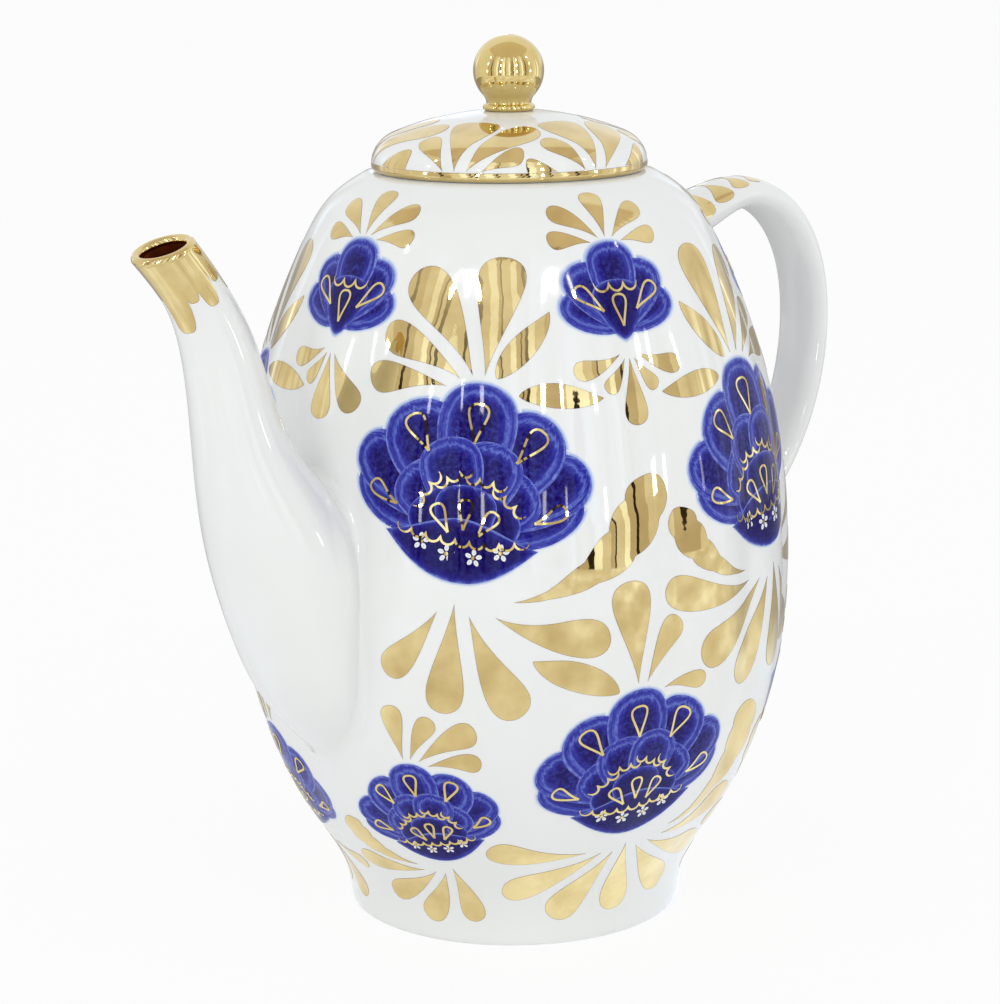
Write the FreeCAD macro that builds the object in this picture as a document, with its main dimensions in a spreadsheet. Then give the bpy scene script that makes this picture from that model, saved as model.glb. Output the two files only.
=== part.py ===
import FreeCAD, Part

import math
import os

import Sketcher
from FreeCAD import Vector

# Covered porcelain pot: a lobed belly, a swan-neck spout, a loop handle and a loose knobbed lid.
# Millimetres. The origin is the centre of the foot's rest plane, +Z is up, the spout points
# along -X and the handle along +X.

# Driving sizes: name, value, what it measures.
SIZES = [
    ("lobe_count", 16, "lobes round the belly"),
    ("lobe_depth", 1.2, "deepest part of the creases between the lobes"),
    ("rim_height", 170.5, "foot plane to the flat rim that carries the lid"),
    ("rim_radius", 32.4, "outside of the rim"),
    ("crown_drop", 5.5, "below the rim, where the shoulder turns in to the rim"),
    ("crown_radius", 40.4, "outside there"),
    ("neck_drop", 16.5, "below the rim, high on the shoulder"),
    ("neck_radius", 47.4, "outside there"),
    ("shoulder_drop", 47.5, "below the rim, low on the shoulder"),
    ("shoulder_radius", 58.9, "outside there"),
    ("belly_height", 85.0, "widest part of the belly above the foot plane"),
    ("belly_radius", 63.9, "outside there"),
    ("hip_height", 48.0, "under the belly"),
    ("hip_radius", 59.8, "outside there"),
    ("flare_height", 24.0, "where the belly opens out of the foot"),
    ("flare_radius", 48.8, "outside there"),
    ("foot_height", 8.0, "top of the round foot"),
    ("foot_top_radius", 40.0, "outside there"),
    ("foot_radius", 38.7, "outside of the foot ring on the table"),
    ("foot_ring_width", 4.5, "width of the foot ring on the table"),
    ("foot_recess", 3.5, "depth of the hollow inside the foot ring"),
    ("floor_thickness", 4.5, "porcelain over that hollow"),
    ("wall", 3.5, "thickness of the pot's wall"),
    ("mouth_radius", 27.3, "inside of the mouth"),
    ("strainer_drop", 7.0, "middle of the strainer below the belly's widest part"),
    ("strainer_hole", 5.0, "diameter of a strainer hole"),
    ("strainer_pitch", 8.0, "middle hole to the ring of holes round it"),
    ("strainer_ring_count", 6, "holes in that ring"),
    ("lid_radius", 31.0, "outside of the lid"),
    ("lid_edge_round", 1.3, "rounding under the lid's edge"),
    ("lid_shoulder", 7.5, "radius from the lid's upright edge to its crown"),
    ("lid_rise", 13.1, "rim to the flat on the lid that carries the knob"),
    ("lid_land_radius", 6.4, "that flat"),
    ("lid_wall", 3.0, "thickness of the lid under the knob"),
    ("collar_depth", 9.0, "how far the lid's collar hangs into the mouth"),
    ("collar_wall", 2.5, "thickness of the collar"),
    ("collar_clearance", 0.9, "collar to mouth, on the radius"),
    ("vent_hole", 3.0, "diameter of the steam vent in the lid"),
    ("vent_offset", 14.0, "vent from the lid's axis, on the handle side"),
    ("knob_radius", 7.95, "ball of the knob"),
    ("knob_neck_radius", 5.05, "neck under the ball"),
    ("knob_neck_fillet", 2.7, "hollow curve from the neck to the ball"),
    ("knob_ring", 1.6, "height of the rolled ring at the knob's foot"),
    ("spout_wall", 3.0, "thickness of the spout up to its throat"),
    ("spout_lip_wall", 2.2, "thickness of the spout at its lip"),
    ("handle_thickness", 8.5, "handle, across the loop"),
    ("handle_width", 14.5, "handle, along the loop's axis"),
    ("handle_top_thickness", 14.0, "handle across the loop, at the shoulder"),
    ("handle_top_width", 17.0, "handle along the loop's axis, at the shoulder"),
    ("handle_top_drop", 17.0, "below the rim, the handle's centre line at the shoulder"),
    ("handle_top_turn", 85.0, "lean of the handle's section there, in degrees"),
    ("handle_arm_thickness", 11.0, "handle across the loop, on the way out to its highest point"),
    ("handle_arm_width", 15.5, "handle along the loop's axis, on that way"),
    ("handle_arm_drop", 15.3, "below the rim, the handle's centre line on that way"),
    ("handle_arm_reach", 15.5, "that place beyond the neck's radius"),
    ("handle_arm_turn", 80.0, "lean of the handle's section there, in degrees"),
    ("handle_tail_thickness", 11.0, "handle across the loop, where it meets the belly"),
    ("handle_tail_width", 16.5, "handle along the loop's axis, where it meets the belly"),
    ("handle_apex_drop", 12.0, "below the rim, highest point of the handle's centre line"),
    ("handle_apex_offset", 13.5, "that point beyond the belly's radius"),
    ("handle_side_drop", 43.5, "below the rim, furthest point of the handle's centre line"),
    ("handle_side_offset", 41.5, "that point beyond the belly's radius"),
    ("handle_back_radius", 61.0, "curve of the handle below that point"),
    ("handle_back_turn", 54.0, "how far that curve turns, in degrees, before it runs straight to the belly"),
    ("handle_root_depth", 10.0, "how far the handle's ends reach in behind the wall before trimming"),
]

# Spout sections from the toe up: name, level it is measured from, rise over that level, offset of
# its centre beyond the belly's radius, half length in the spout's plane, half width across it,
# tilt of its plane in degrees, share of the way from the root's wall to the lip's.
SPOUT_SECTIONS = [
    ("toe", "hip_height", -4.0, -9.4, 3.0, 3.5, 0.0, 0.0),
    ("heel", "hip_height", 10.0, -3.6, 10.6, 11.9, 0.0, 0.0),
    ("root", "belly_height", -9.0, 2.2, 14.4, 15.6, 0.0, 0.0),
    ("waist", "belly_height", 11.0, 6.4, 16.4, 16.4, 4.0, 0.0),
    ("throat", "belly_height", 33.0, 16.3, 10.8, 10.9, 8.0, 0.0),
    ("neck", "rim_height", -30.5, 22.1, 8.1, 8.1, 18.0, 0.35),
    ("bend", "rim_height", -17.5, 28.4, 6.8, 6.8, 26.0, 0.7),
    ("lip", "rim_height", -8.0, 36.2, 7.1, 7.1, 18.0, 1.0),
]
SPOUT_KEYS = ("rise", "offset", "length", "width", "tilt", "thinning")

NODES = ("pot_body", "spout", "handle", "lid", "lid_knob")

doc = FreeCAD.newDocument("porcelain_pot")


def fill_sheet():
    """Put every driving size in the sheet under its own alias."""
    rows = list(SIZES)
    for name, _, *values in SPOUT_SECTIONS:
        for key, value in zip(SPOUT_KEYS, values):
            rows.append((f"spout_{name}_{key}", value, f"spout section, {name}"))
    sheet = doc.addObject("Spreadsheet::Sheet", "Sizes")
    for row, (alias, value, note) in enumerate(rows, start=1):
        sheet.set(f"A{row}", note)
        sheet.set(f"B{row}", str(value))
        sheet.setAlias(f"B{row}", alias)
    doc.recompute()
    return sheet


sheet = fill_sheet()


def size(alias):
    return float(getattr(sheet, alias))


def bind(obj, **expressions):
    """Tie properties of an object to the sheet; a double underscore stands for a dot."""
    for prop, text in expressions.items():
        obj.setExpression(prop.replace("__", "."), text)


def cut(label, base, tool):
    result = doc.addObject("Part::Cut", label)
    result.Base = base
    result.Tool = tool
    return result


def cylinder(label, radius, height, x, z, y="0", yaw_pitch_roll="0; 0; 0"):
    """A cylinder from its base point, turned by yaw, pitch and roll; all sizes are expressions."""
    obj = doc.addObject("Part::Cylinder", label)
    bind(obj, Radius=radius, Height=height)
    bind(obj, Placement=placement(x, y, z, yaw_pitch_roll))
    return obj


def placement(x, y, z, yaw_pitch_roll="0; 0; 0"):
    return (
        f"create(<<placement>>; create(<<vector>>; {x}; {y}; {z}); "
        f"create(<<rotation>>; {yaw_pitch_roll}))"
    )


# Levels of the belly from the foot up, as expressions: height and outside radius.
BELLY_LEVELS = [
    ("0", "Sizes.foot_radius"),
    ("Sizes.foot_height", "Sizes.foot_top_radius"),
    ("Sizes.flare_height", "Sizes.flare_radius"),
    ("Sizes.hip_height", "Sizes.hip_radius"),
    ("Sizes.belly_height", "Sizes.belly_radius"),
    ("Sizes.rim_height - Sizes.shoulder_drop", "Sizes.shoulder_radius"),
    ("Sizes.rim_height - Sizes.neck_drop", "Sizes.neck_radius"),
    ("Sizes.rim_height - Sizes.crown_drop", "Sizes.crown_radius"),
    ("Sizes.rim_height", "Sizes.rim_radius"),
]


def value(expression):
    return float(sheet.evalExpression(expression.replace("Sizes.", "")))


def lobed_ring(height, radius):
    """A closed ring of arcs, one a lobe, that meet in creases."""
    count = round(size("lobe_count"))
    half = math.pi / count
    inside = radius - crease(height)
    arcs = []
    for lobe in range(count):
        middle = 2 * half * lobe
        points = []
        for angle, reach in ((middle - half, inside), (middle, radius), (middle + half, inside)):
            points.append(Vector(reach * math.cos(angle), reach * math.sin(angle), height))
        arcs.append(Part.Arc(*points).toShape())
    return Part.Wire(arcs)


def crease(height):
    """Depth of the creases at a height: full at mid-belly, none at the foot and the crown."""
    low = size("foot_height")
    high = size("rim_height") - size("crown_drop")
    share = (2 * height - low - high) / (high - low)
    return size("lobe_depth") * max(0.0, 1.0 - share * share)


def make_belly():
    """The lobed outside of the pot as a solid, lofted through its levels."""
    belly = doc.addObject("Part::Feature", "belly_form")
    rings = [lobed_ring(value(height), value(radius)) for height, radius in BELLY_LEVELS]
    belly.Shape = Part.makeLoft(rings, True)
    return belly


def ring(label, height, radius):
    circle = doc.addObject("Part::Circle", label)
    bind(circle, Radius=radius, Placement=placement("0", "0", height))
    return circle


def make_hollow():
    """The round inside of the pot: its levels drawn in by the wall, measured square to the slope."""
    floor = "Sizes.foot_recess + Sizes.floor_thickness"
    rings = [ring("hollow_floor", floor, "Sizes.foot_top_radius - Sizes.wall")]
    inner_levels = zip(BELLY_LEVELS[1:], BELLY_LEVELS[2:-2], BELLY_LEVELS[3:])
    for number, (below, here, above) in enumerate(inner_levels, start=1):
        slope = f"({above[1]} - {below[1]}) / (({above[0]}) - ({below[0]}))"
        radius = f"{here[1]} - Sizes.wall * sqrt(1 + ({slope}) ^ 2)"
        rings.append(ring(f"hollow_{number}", here[0], radius))
    rings.append(ring("hollow_top", "Sizes.rim_height - Sizes.wall", "Sizes.rim_radius - Sizes.wall"))
    return loft("pot_hollow", rings)


def make_pot_body(belly):
    mouth = cylinder("mouth", "Sizes.mouth_radius", "3 * Sizes.wall", "0",
                     "Sizes.rim_height - 2 * Sizes.wall")
    recess = cylinder("foot_hollow", "Sizes.foot_radius - Sizes.foot_ring_width",
                      "2 * Sizes.foot_recess", "0", "-Sizes.foot_recess")
    holes = [strainer_hole("strainer_middle", "0", "0")]
    for hole in range(round(size("strainer_ring_count"))):
        turn = f"{hole} * 360 deg / Sizes.strainer_ring_count"
        holes.append(strainer_hole(f"strainer_{hole + 1}", f"sin({turn})", f"cos({turn})"))
    hollows = doc.addObject("Part::MultiFuse", "pot_hollows")
    hollows.Shapes = [make_hollow(), mouth, *holes]
    shell = cut("pot_shell", belly, hollows)
    return cut("pot_body", shell, recess)


def strainer_hole(label, across, up):
    """A hole along X through the wall under the spout's root; across and up are shares of the pitch."""
    middle = "Sizes.belly_height - Sizes.strainer_drop"
    return cylinder(label, "Sizes.strainer_hole / 2", "4 * Sizes.wall", "-Sizes.belly_radius - Sizes.wall",
                    f"{middle} + Sizes.strainer_pitch * {up}", f"Sizes.strainer_pitch * {across}", "0; 90; 0")


def oval(label, x, z, half_length, half_width, turn):
    """An ellipse across Y, its plane leaning by a turn about Y; all sizes are expressions."""
    section = doc.addObject("Part::Ellipse", label)
    bind(section, MajorRadius=half_width, MinorRadius=half_length)
    bind(section, Placement=placement(x, "0", z, f"90; 0; {turn}"))
    return section


def loft(label, sections):
    solid = doc.addObject("Part::Loft", label)
    solid.Sections = sections
    solid.Solid = True
    solid.Ruled = False
    return solid


def spout_oval(name, level, label, wall="0"):
    cell = f"Sizes.spout_{name}"
    return oval(label, f"-Sizes.belly_radius - {cell}_offset", f"Sizes.{level} + {cell}_rise",
                f"{cell}_length - {wall}", f"{cell}_width - {wall}", f"-{cell}_tilt")


def make_spout(belly):
    thinning = "(Sizes.spout_lip_wall - Sizes.spout_wall)"
    outer = []
    bore = []
    for name, base, *_ in SPOUT_SECTIONS:
        outer.append(spout_oval(name, base, f"spout_{name}"))
        if name != "toe":
            wall = f"(Sizes.spout_wall + {thinning} * Sizes.spout_{name}_thinning)"
            bore.append(spout_oval(name, base, f"spout_bore_{name}", wall))
    tube = cut("spout_tube", loft("spout_form", outer), loft("spout_bore", bore))
    return cut("spout", tube, belly)


def make_handle(belly):
    """A loop: out of the shoulder, a quarter of an ellipse over the top, an arc down, then straight in."""
    side = "(Sizes.belly_radius + Sizes.handle_side_offset)"
    side_height = "(Sizes.rim_height - Sizes.handle_side_drop)"
    apex = "(Sizes.belly_radius + Sizes.handle_apex_offset)"
    apex_height = "(Sizes.rim_height - Sizes.handle_apex_drop)"
    root = "Sizes.neck_radius - Sizes.handle_root_depth"
    reach = "Sizes.neck_radius + Sizes.handle_arm_reach"
    tail = "(Sizes.hip_radius - Sizes.handle_root_depth)"
    grip = ("Sizes.handle_thickness / 2", "Sizes.handle_width / 2")
    top = ("Sizes.handle_top_thickness / 2", "Sizes.handle_top_width / 2", "Sizes.handle_top_turn")
    arm = ("Sizes.handle_arm_thickness / 2", "Sizes.handle_arm_width / 2", "Sizes.handle_arm_turn")
    end = ("Sizes.handle_tail_thickness / 2", "Sizes.handle_tail_width / 2")

    sections = [
        oval("handle_top", root, "Sizes.rim_height - Sizes.handle_top_drop", *top),
        oval("handle_arm", reach, "Sizes.rim_height - Sizes.handle_arm_drop", *arm),
        oval("handle_apex", apex, apex_height, *grip, "90"),
    ]
    for turn in (30, 60, 90):
        x = f"{apex} + ({side} - {apex}) * sin({turn} deg)"
        z = f"{side_height} + ({apex_height} - {side_height}) * cos({turn} deg)"
        sections.append(oval(f"handle_crown_{turn}", x, z, *grip, f"{90 + turn}"))
    for share in (0.5, 1.0):
        turn = f"{share} * Sizes.handle_back_turn"
        x = f"{side} - Sizes.handle_back_radius * (1 - cos({turn} * 1 deg))"
        z = f"{side_height} - Sizes.handle_back_radius * sin({turn} * 1 deg)"
        sections.append(oval(f"handle_back_{round(100 * share)}", x, z, *grip, f"180 + {turn}"))
    tail_height = f"{z} - ({x} - {tail}) / tan({turn} * 1 deg)"
    sections.append(oval("handle_tail", tail, tail_height, *end, f"180 + {turn}"))
    return cut("handle", loft("handle_form", sections), belly)


def new_sketch(body, name, plane):
    sketch = body.newObject("Sketcher::SketchObject", name)
    support = next(item for item in body.Origin.OriginFeatures if item.Role == plane)
    sketch.AttachmentSupport = (support, [""])
    sketch.MapMode = "FlatFace"
    return sketch


def line(sketch, start, end):
    return sketch.addGeometry(Part.LineSegment(Vector(*start, 0), Vector(*end, 0)))


def arc(sketch, centre, start, end):
    """An arc that runs anticlockwise about its centre from one point to another."""
    first = math.atan2(start[1] - centre[1], start[0] - centre[0])
    last = math.atan2(end[1] - centre[1], end[0] - centre[0])
    radius = math.dist(centre, start)
    circle = Part.Circle(Vector(*centre, 0), Vector(0, 0, 1), radius)
    return sketch.addGeometry(Part.ArcOfCircle(circle, first, last))


# The sketcher's own indices for the points of an edge and for the axes.
START, END, CENTRE = range(1, 4)
V_AXIS, H_AXIS = range(-2, 0)
ORIGIN = H_AXIS


def join(sketch, *pairs):
    for one, other in pairs:
        sketch.addConstraint(Sketcher.Constraint("Coincident", *one, *other))


def straight(sketch, kind, *edges):
    for edge in edges:
        sketch.addConstraint(Sketcher.Constraint(kind, edge))


def on_axis(sketch, *points):
    for point in points:
        sketch.addConstraint(Sketcher.Constraint("PointOnObject", *point, V_AXIS))


def place(sketch, point, across=None, up=None):
    """Hold a point of a sketch at distances from its origin, given as expressions."""
    position = sketch.getPoint(*point)
    for kind, guess, text in (("DistanceX", position.x, across), ("DistanceY", position.y, up)):
        if text:
            index = sketch.addConstraint(Sketcher.Constraint(kind, ORIGIN, START, *point, guess))
            sketch.setExpression(f"Constraints[{index}]", text)


def round_size(sketch, kind, edge, guess, text):
    """Hold the Radius or Diameter of a circle or arc at an expression."""
    index = sketch.addConstraint(Sketcher.Constraint(kind, edge, guess))
    sketch.setExpression(f"Constraints[{index}]", text)


def revolve(body, sketch, name):
    feature = body.newObject("PartDesign::Revolution", name)
    feature.Profile = sketch
    feature.ReferenceAxis = (sketch, ["V_Axis"])
    feature.Angle = 360.0
    return feature


def make_lid():
    """Domed lid with a flat seat, a collar that drops into the mouth and a steam vent."""
    rim = size("rim_height")
    outside = size("mouth_radius") - size("collar_clearance")
    inside = outside - size("collar_wall")
    hem_z = rim - size("collar_depth")
    rounding = size("lid_edge_round")
    shoulder = size("lid_shoulder")
    edge = (size("lid_radius"), rim + rounding)
    land = (size("lid_land_radius"), rim + size("lid_rise"))
    under = land[1] - size("lid_wall")
    # First guess of the crown, an arc about the axis that runs smoothly into the shoulder.
    turn = (edge[0] - shoulder, edge[1])
    rise = land[1] - edge[1]
    crown = (turn[0] ** 2 + rise ** 2 - shoulder ** 2) / (2 * (rise - shoulder))
    crown_centre = (0, land[1] - crown)
    share = crown / (crown - shoulder)
    meet = (turn[0] * share, crown_centre[1] + (turn[1] - crown_centre[1]) * share)
    ceiling_z = crown_centre[1] + math.sqrt((under - crown_centre[1]) ** 2 - inside ** 2)

    body = doc.addObject("PartDesign::Body", "lid")
    sketch = new_sketch(body, "lid_profile", "XZ_Plane")
    hem = line(sketch, (inside, hem_z), (outside, hem_z))
    collar = line(sketch, (outside, hem_z), (outside, rim))
    seat = line(sketch, (outside, rim), (edge[0] - rounding, rim))
    bottom = arc(sketch, (edge[0] - rounding, edge[1]), (edge[0] - rounding, rim), edge)
    upright = arc(sketch, turn, edge, meet)
    dome = arc(sketch, crown_centre, meet, land)
    top = line(sketch, land, (0, land[1]))
    axis = line(sketch, (0, land[1]), (0, under))
    ceiling = arc(sketch, crown_centre, (inside, ceiling_z), (0, under))
    lining = line(sketch, (inside, ceiling_z), (inside, hem_z))
    join(sketch, ((hem, END), (collar, START)), ((collar, END), (seat, START)),
         ((seat, END), (bottom, START)), ((bottom, END), (upright, START)), ((dome, END), (top, START)),
         ((top, END), (axis, START)), ((axis, END), (ceiling, END)), ((ceiling, START), (lining, START)),
         ((lining, END), (hem, START)), ((ceiling, CENTRE), (dome, CENTRE)))
    sketch.addConstraint(Sketcher.Constraint("Tangent", upright, END, dome, START))
    straight(sketch, "Horizontal", hem, seat, top)
    straight(sketch, "Vertical", collar, axis, lining)
    on_axis(sketch, (axis, START), (dome, CENTRE))
    collar_outside = "Sizes.mouth_radius - Sizes.collar_clearance"
    collar_inside = f"{collar_outside} - Sizes.collar_wall"
    edge_level = "Sizes.rim_height + Sizes.lid_edge_round"
    place(sketch, (hem, START), collar_inside, "Sizes.rim_height - Sizes.collar_depth")
    place(sketch, (collar, END), collar_outside, "Sizes.rim_height")
    place(sketch, (bottom, CENTRE), "Sizes.lid_radius - Sizes.lid_edge_round", edge_level)
    place(sketch, (bottom, START), "Sizes.lid_radius - Sizes.lid_edge_round")
    place(sketch, (bottom, END), up=edge_level)
    place(sketch, (upright, CENTRE), "Sizes.lid_radius - Sizes.lid_shoulder", edge_level)
    place(sketch, (dome, END), "Sizes.lid_land_radius", "Sizes.rim_height + Sizes.lid_rise")
    place(sketch, (axis, END), up="Sizes.rim_height + Sizes.lid_rise - Sizes.lid_wall")
    revolve(body, sketch, "lid_turned")
    doc.recompute()

    vent = new_sketch(body, "vent_outline", "XY_Plane")
    hole = Part.Circle(Vector(size("vent_offset"), 0, 0), Vector(0, 0, 1), size("vent_hole") / 2)
    circle = vent.addGeometry(hole)
    vent.addConstraint(Sketcher.Constraint("PointOnObject", circle, CENTRE, H_AXIS))
    place(vent, (circle, CENTRE), "Sizes.vent_offset")
    round_size(vent, "Diameter", circle, size("vent_hole"), "Sizes.vent_hole")
    solid_volume = body.Shape.Volume
    pocket = body.newObject("PartDesign::Pocket", "vent")
    pocket.Profile = vent
    pocket.Type = "ThroughAll"
    pocket.Reversed = True
    doc.recompute()
    if body.Shape.Volume >= solid_volume:
        raise RuntimeError("the vent misses the lid")
    return body


def make_knob():
    """Ball knob with a hollow neck and a rolled ring, on the flat of the lid."""
    base = size("rim_height") + size("lid_rise")
    ring = size("knob_ring")
    neck = size("knob_neck_radius")
    fillet = size("knob_neck_fillet")
    ball = size("knob_radius")
    neck_z = base + ring
    ball_z = neck_z + math.sqrt((ball + fillet) ** 2 - (neck + fillet) ** 2)
    share = ball / (ball + fillet)
    meet = ((neck + fillet) * share, ball_z + (neck_z - ball_z) * share)

    body = doc.addObject("PartDesign::Body", "lid_knob")
    sketch = new_sketch(body, "knob_profile", "XZ_Plane")
    foot = line(sketch, (0, base), (neck, base))
    roll = arc(sketch, (neck, base + ring / 2), (neck, base), (neck, neck_z))
    hollow = arc(sketch, (neck + fillet, neck_z), meet, (neck, neck_z))
    head = arc(sketch, (0, ball_z), meet, (0, ball_z + ball))
    axis = line(sketch, (0, ball_z + ball), (0, base))
    join(sketch, ((foot, END), (roll, START)), ((roll, END), (hollow, END)),
         ((head, END), (axis, START)), ((axis, END), (foot, START)))
    sketch.addConstraint(Sketcher.Constraint("Tangent", hollow, START, head, START))
    straight(sketch, "Horizontal", foot)
    straight(sketch, "Vertical", axis)
    on_axis(sketch, (foot, START), (head, CENTRE))
    lid_top = "Sizes.rim_height + Sizes.lid_rise"
    hollow_centre = "Sizes.knob_neck_radius + Sizes.knob_neck_fillet"
    place(sketch, (foot, END), "Sizes.knob_neck_radius", lid_top)
    place(sketch, (roll, CENTRE), "Sizes.knob_neck_radius", f"{lid_top} + Sizes.knob_ring / 2")
    place(sketch, (roll, END), "Sizes.knob_neck_radius")
    place(sketch, (hollow, CENTRE), hollow_centre, f"{lid_top} + Sizes.knob_ring")
    round_size(sketch, "Radius", head, ball, "Sizes.knob_radius")
    revolve(body, sketch, "knob_turned")
    return body


belly = make_belly()
make_pot_body(belly)
make_spout(belly)
make_handle(belly)
make_lid()
make_knob()
doc.recompute()

for obj in doc.Objects:
    if "Invalid" in obj.State or "Error" in obj.State:
        raise RuntimeError(f"{obj.Label} failed: {obj.State}")

os.makedirs("parts", exist_ok=True)
pieces = {label: doc.getObjectsByLabel(label)[0].Shape for label in NODES}
for label, shape in pieces.items():
    if shape.isNull() or not shape.isValid() or len(shape.Solids) != 1:
        raise RuntimeError(f"{label} is not one valid solid")
for label, shape in pieces.items():
    shape.exportStep(f"parts/{label}.step")
    print(f"{label}: {shape.Volume / 1000:.1f} ml of porcelain")
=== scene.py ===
import math

import bmesh
import bpy
import numpy as np
from mathutils import Euler, Matrix, Vector


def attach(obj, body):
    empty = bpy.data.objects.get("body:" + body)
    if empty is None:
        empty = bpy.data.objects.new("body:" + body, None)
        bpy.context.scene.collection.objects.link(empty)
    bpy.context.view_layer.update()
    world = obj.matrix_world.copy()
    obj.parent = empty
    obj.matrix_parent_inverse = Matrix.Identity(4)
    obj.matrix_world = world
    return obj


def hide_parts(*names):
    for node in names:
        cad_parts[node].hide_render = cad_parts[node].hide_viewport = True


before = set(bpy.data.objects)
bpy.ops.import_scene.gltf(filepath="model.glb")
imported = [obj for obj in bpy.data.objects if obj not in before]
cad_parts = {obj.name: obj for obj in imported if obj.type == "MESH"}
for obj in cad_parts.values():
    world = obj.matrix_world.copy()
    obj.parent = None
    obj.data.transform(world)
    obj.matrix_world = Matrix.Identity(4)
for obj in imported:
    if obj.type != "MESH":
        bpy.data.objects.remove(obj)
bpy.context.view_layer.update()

# A lobed porcelain pot with a loose lid, painted in cobalt and gold.
# Sizes are in millimetres, in the frame's axes, until a mesh is made.
MM = 0.001

# Pot
LOBES = 16
CREASE = 1.2
CREASE_SOFTNESS = 0.3
RIM_HEIGHT = 170.5
RIM_RADIUS = 32.4
RIM_SOFT = 1.1
MOUTH_RADIUS = 27.3
WALL = 3.5
FOOT_HEIGHT = 8.0
FOOT_RING_WIDTH = 4.5
FOOT_RECESS = 3.5
FOOT_SOFT = 0.7
# Where the outside starts, above the rounding of the foot ring.
FOOT_EASE = 1.6
FLOOR_THICKNESS = 4.5
FLOOR_SOFT = 6.0
CROWN_DROP = 5.5
BELLY_HEIGHT = 85.0
BELLY_RADIUS = 63.9
HIP_HEIGHT = 48.0
HIP_RADIUS = 59.8
NECK_RADIUS = 47.4
# Height and radius of the belly's levels, from the foot up.
BELLY_LEVELS = [
    (0.0, 38.7), (FOOT_HEIGHT, 40.0), (24.0, 48.8), (HIP_HEIGHT, HIP_RADIUS), (BELLY_HEIGHT, BELLY_RADIUS),
    (RIM_HEIGHT - 47.5, 58.9), (RIM_HEIGHT - 16.5, NECK_RADIUS), (RIM_HEIGHT - CROWN_DROP, 40.4),
    (RIM_HEIGHT, RIM_RADIUS),
]
# The glaze lies this far inside the solids, so that the gold on it stays within their box.
GLAZE_INSET = 0.25
STRAINER = {"hole": 5.0, "pitch": 8.0, "drop": 7.0, "ring": 6}

# Lid and knob
LID_RADIUS = 31.0
LID_EDGE_ROUND = 1.3
LID_SHOULDER = 7.5
# Centre of the shoulder's arc, as (radius, z).
LID_TURN = (LID_RADIUS - LID_SHOULDER, RIM_HEIGHT + LID_EDGE_ROUND)
LID_TOP = RIM_HEIGHT + 13.1
LID_LAND_RADIUS = 6.4
LID_WALL = 3.0
LID_SOFT = 0.6
LID_BAND = (0.7, 2.9)
COLLAR_OUTSIDE = MOUTH_RADIUS - 0.9
COLLAR_INSIDE = COLLAR_OUTSIDE - 2.5
COLLAR_HEM = RIM_HEIGHT - 9.0
VENT_HOLE = 3.0
VENT_OFFSET = 14.0
KNOB_RADIUS = 7.95
KNOB_NECK = 5.05
KNOB_FILLET = 2.7
KNOB_RING = 1.6

# Spout sections from the toe up: x, z, half length, half width, tilt in degrees, wall.
SPOUT_SECTIONS = [
    (-BELLY_RADIUS + 9.4, HIP_HEIGHT - 4.0, 3.0, 3.5, 0.0, 3.0),
    (-BELLY_RADIUS + 3.6, HIP_HEIGHT + 10.0, 10.6, 11.9, 0.0, 3.0),
    (-BELLY_RADIUS - 2.2, BELLY_HEIGHT - 9.0, 14.4, 15.6, 0.0, 3.0),
    (-BELLY_RADIUS - 6.4, BELLY_HEIGHT + 11.0, 16.4, 16.4, 4.0, 3.0),
    (-BELLY_RADIUS - 16.3, BELLY_HEIGHT + 33.0, 10.8, 10.9, 8.0, 3.0),
    (-BELLY_RADIUS - 22.1, RIM_HEIGHT - 30.5, 8.1, 8.1, 18.0, 2.72),
    (-BELLY_RADIUS - 28.4, RIM_HEIGHT - 17.5, 6.8, 6.8, 26.0, 2.44),
    (-BELLY_RADIUS - 36.2, RIM_HEIGHT - 8.0, 7.1, 7.1, 18.0, 2.2),
]
SPOUT_FILLET = 4.5
SPOUT_AROUND = 72

# Handle
HANDLE_GRIP = (4.25, 7.25)
HANDLE_APEX = (BELLY_RADIUS + 13.5, RIM_HEIGHT - 12.0)
HANDLE_SIDE = (BELLY_RADIUS + 41.5, RIM_HEIGHT - 43.5)
HANDLE_BACK_RADIUS = 61.0
HANDLE_BACK_TURN = 54.0
HANDLE_FILLET = 3.5
HANDLE_AROUND = 56


class Spline:
    """A natural cubic curve through rows of numbers, measured along its first two columns."""

    def __init__(self, rows):
        self.rows = np.array(rows, float)
        steps = np.linalg.norm(np.diff(self.rows[:, :2], axis=0), axis=1)
        self.knots = np.concatenate([[0.0], np.cumsum(steps)])
        self.length = self.knots[-1]
        count = len(self.rows)
        system = np.eye(count)
        target = np.zeros_like(self.rows)
        for k in range(1, count - 1):
            before, after = steps[k - 1], steps[k]
            system[k, k - 1:k + 2] = before, 2 * (before + after), after
            rise = (self.rows[k + 1] - self.rows[k]) / after - (self.rows[k] - self.rows[k - 1]) / before
            target[k] = 6 * rise
        self.bends = np.linalg.solve(system, target)

    def __call__(self, at):
        at = np.clip(np.asarray(at, float), 0.0, self.length)
        k = np.clip(np.searchsorted(self.knots, at, side="right") - 1, 0, len(self.knots) - 2)
        step = self.knots[k + 1] - self.knots[k]
        after = ((at - self.knots[k]) / step)[..., None]
        before = 1.0 - after
        square = (step ** 2 / 6)[..., None]
        bend = (before ** 3 - before) * self.bends[k] + (after ** 3 - after) * self.bends[k + 1]
        return before * self.rows[k] + after * self.rows[k + 1] + square * bend


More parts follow.
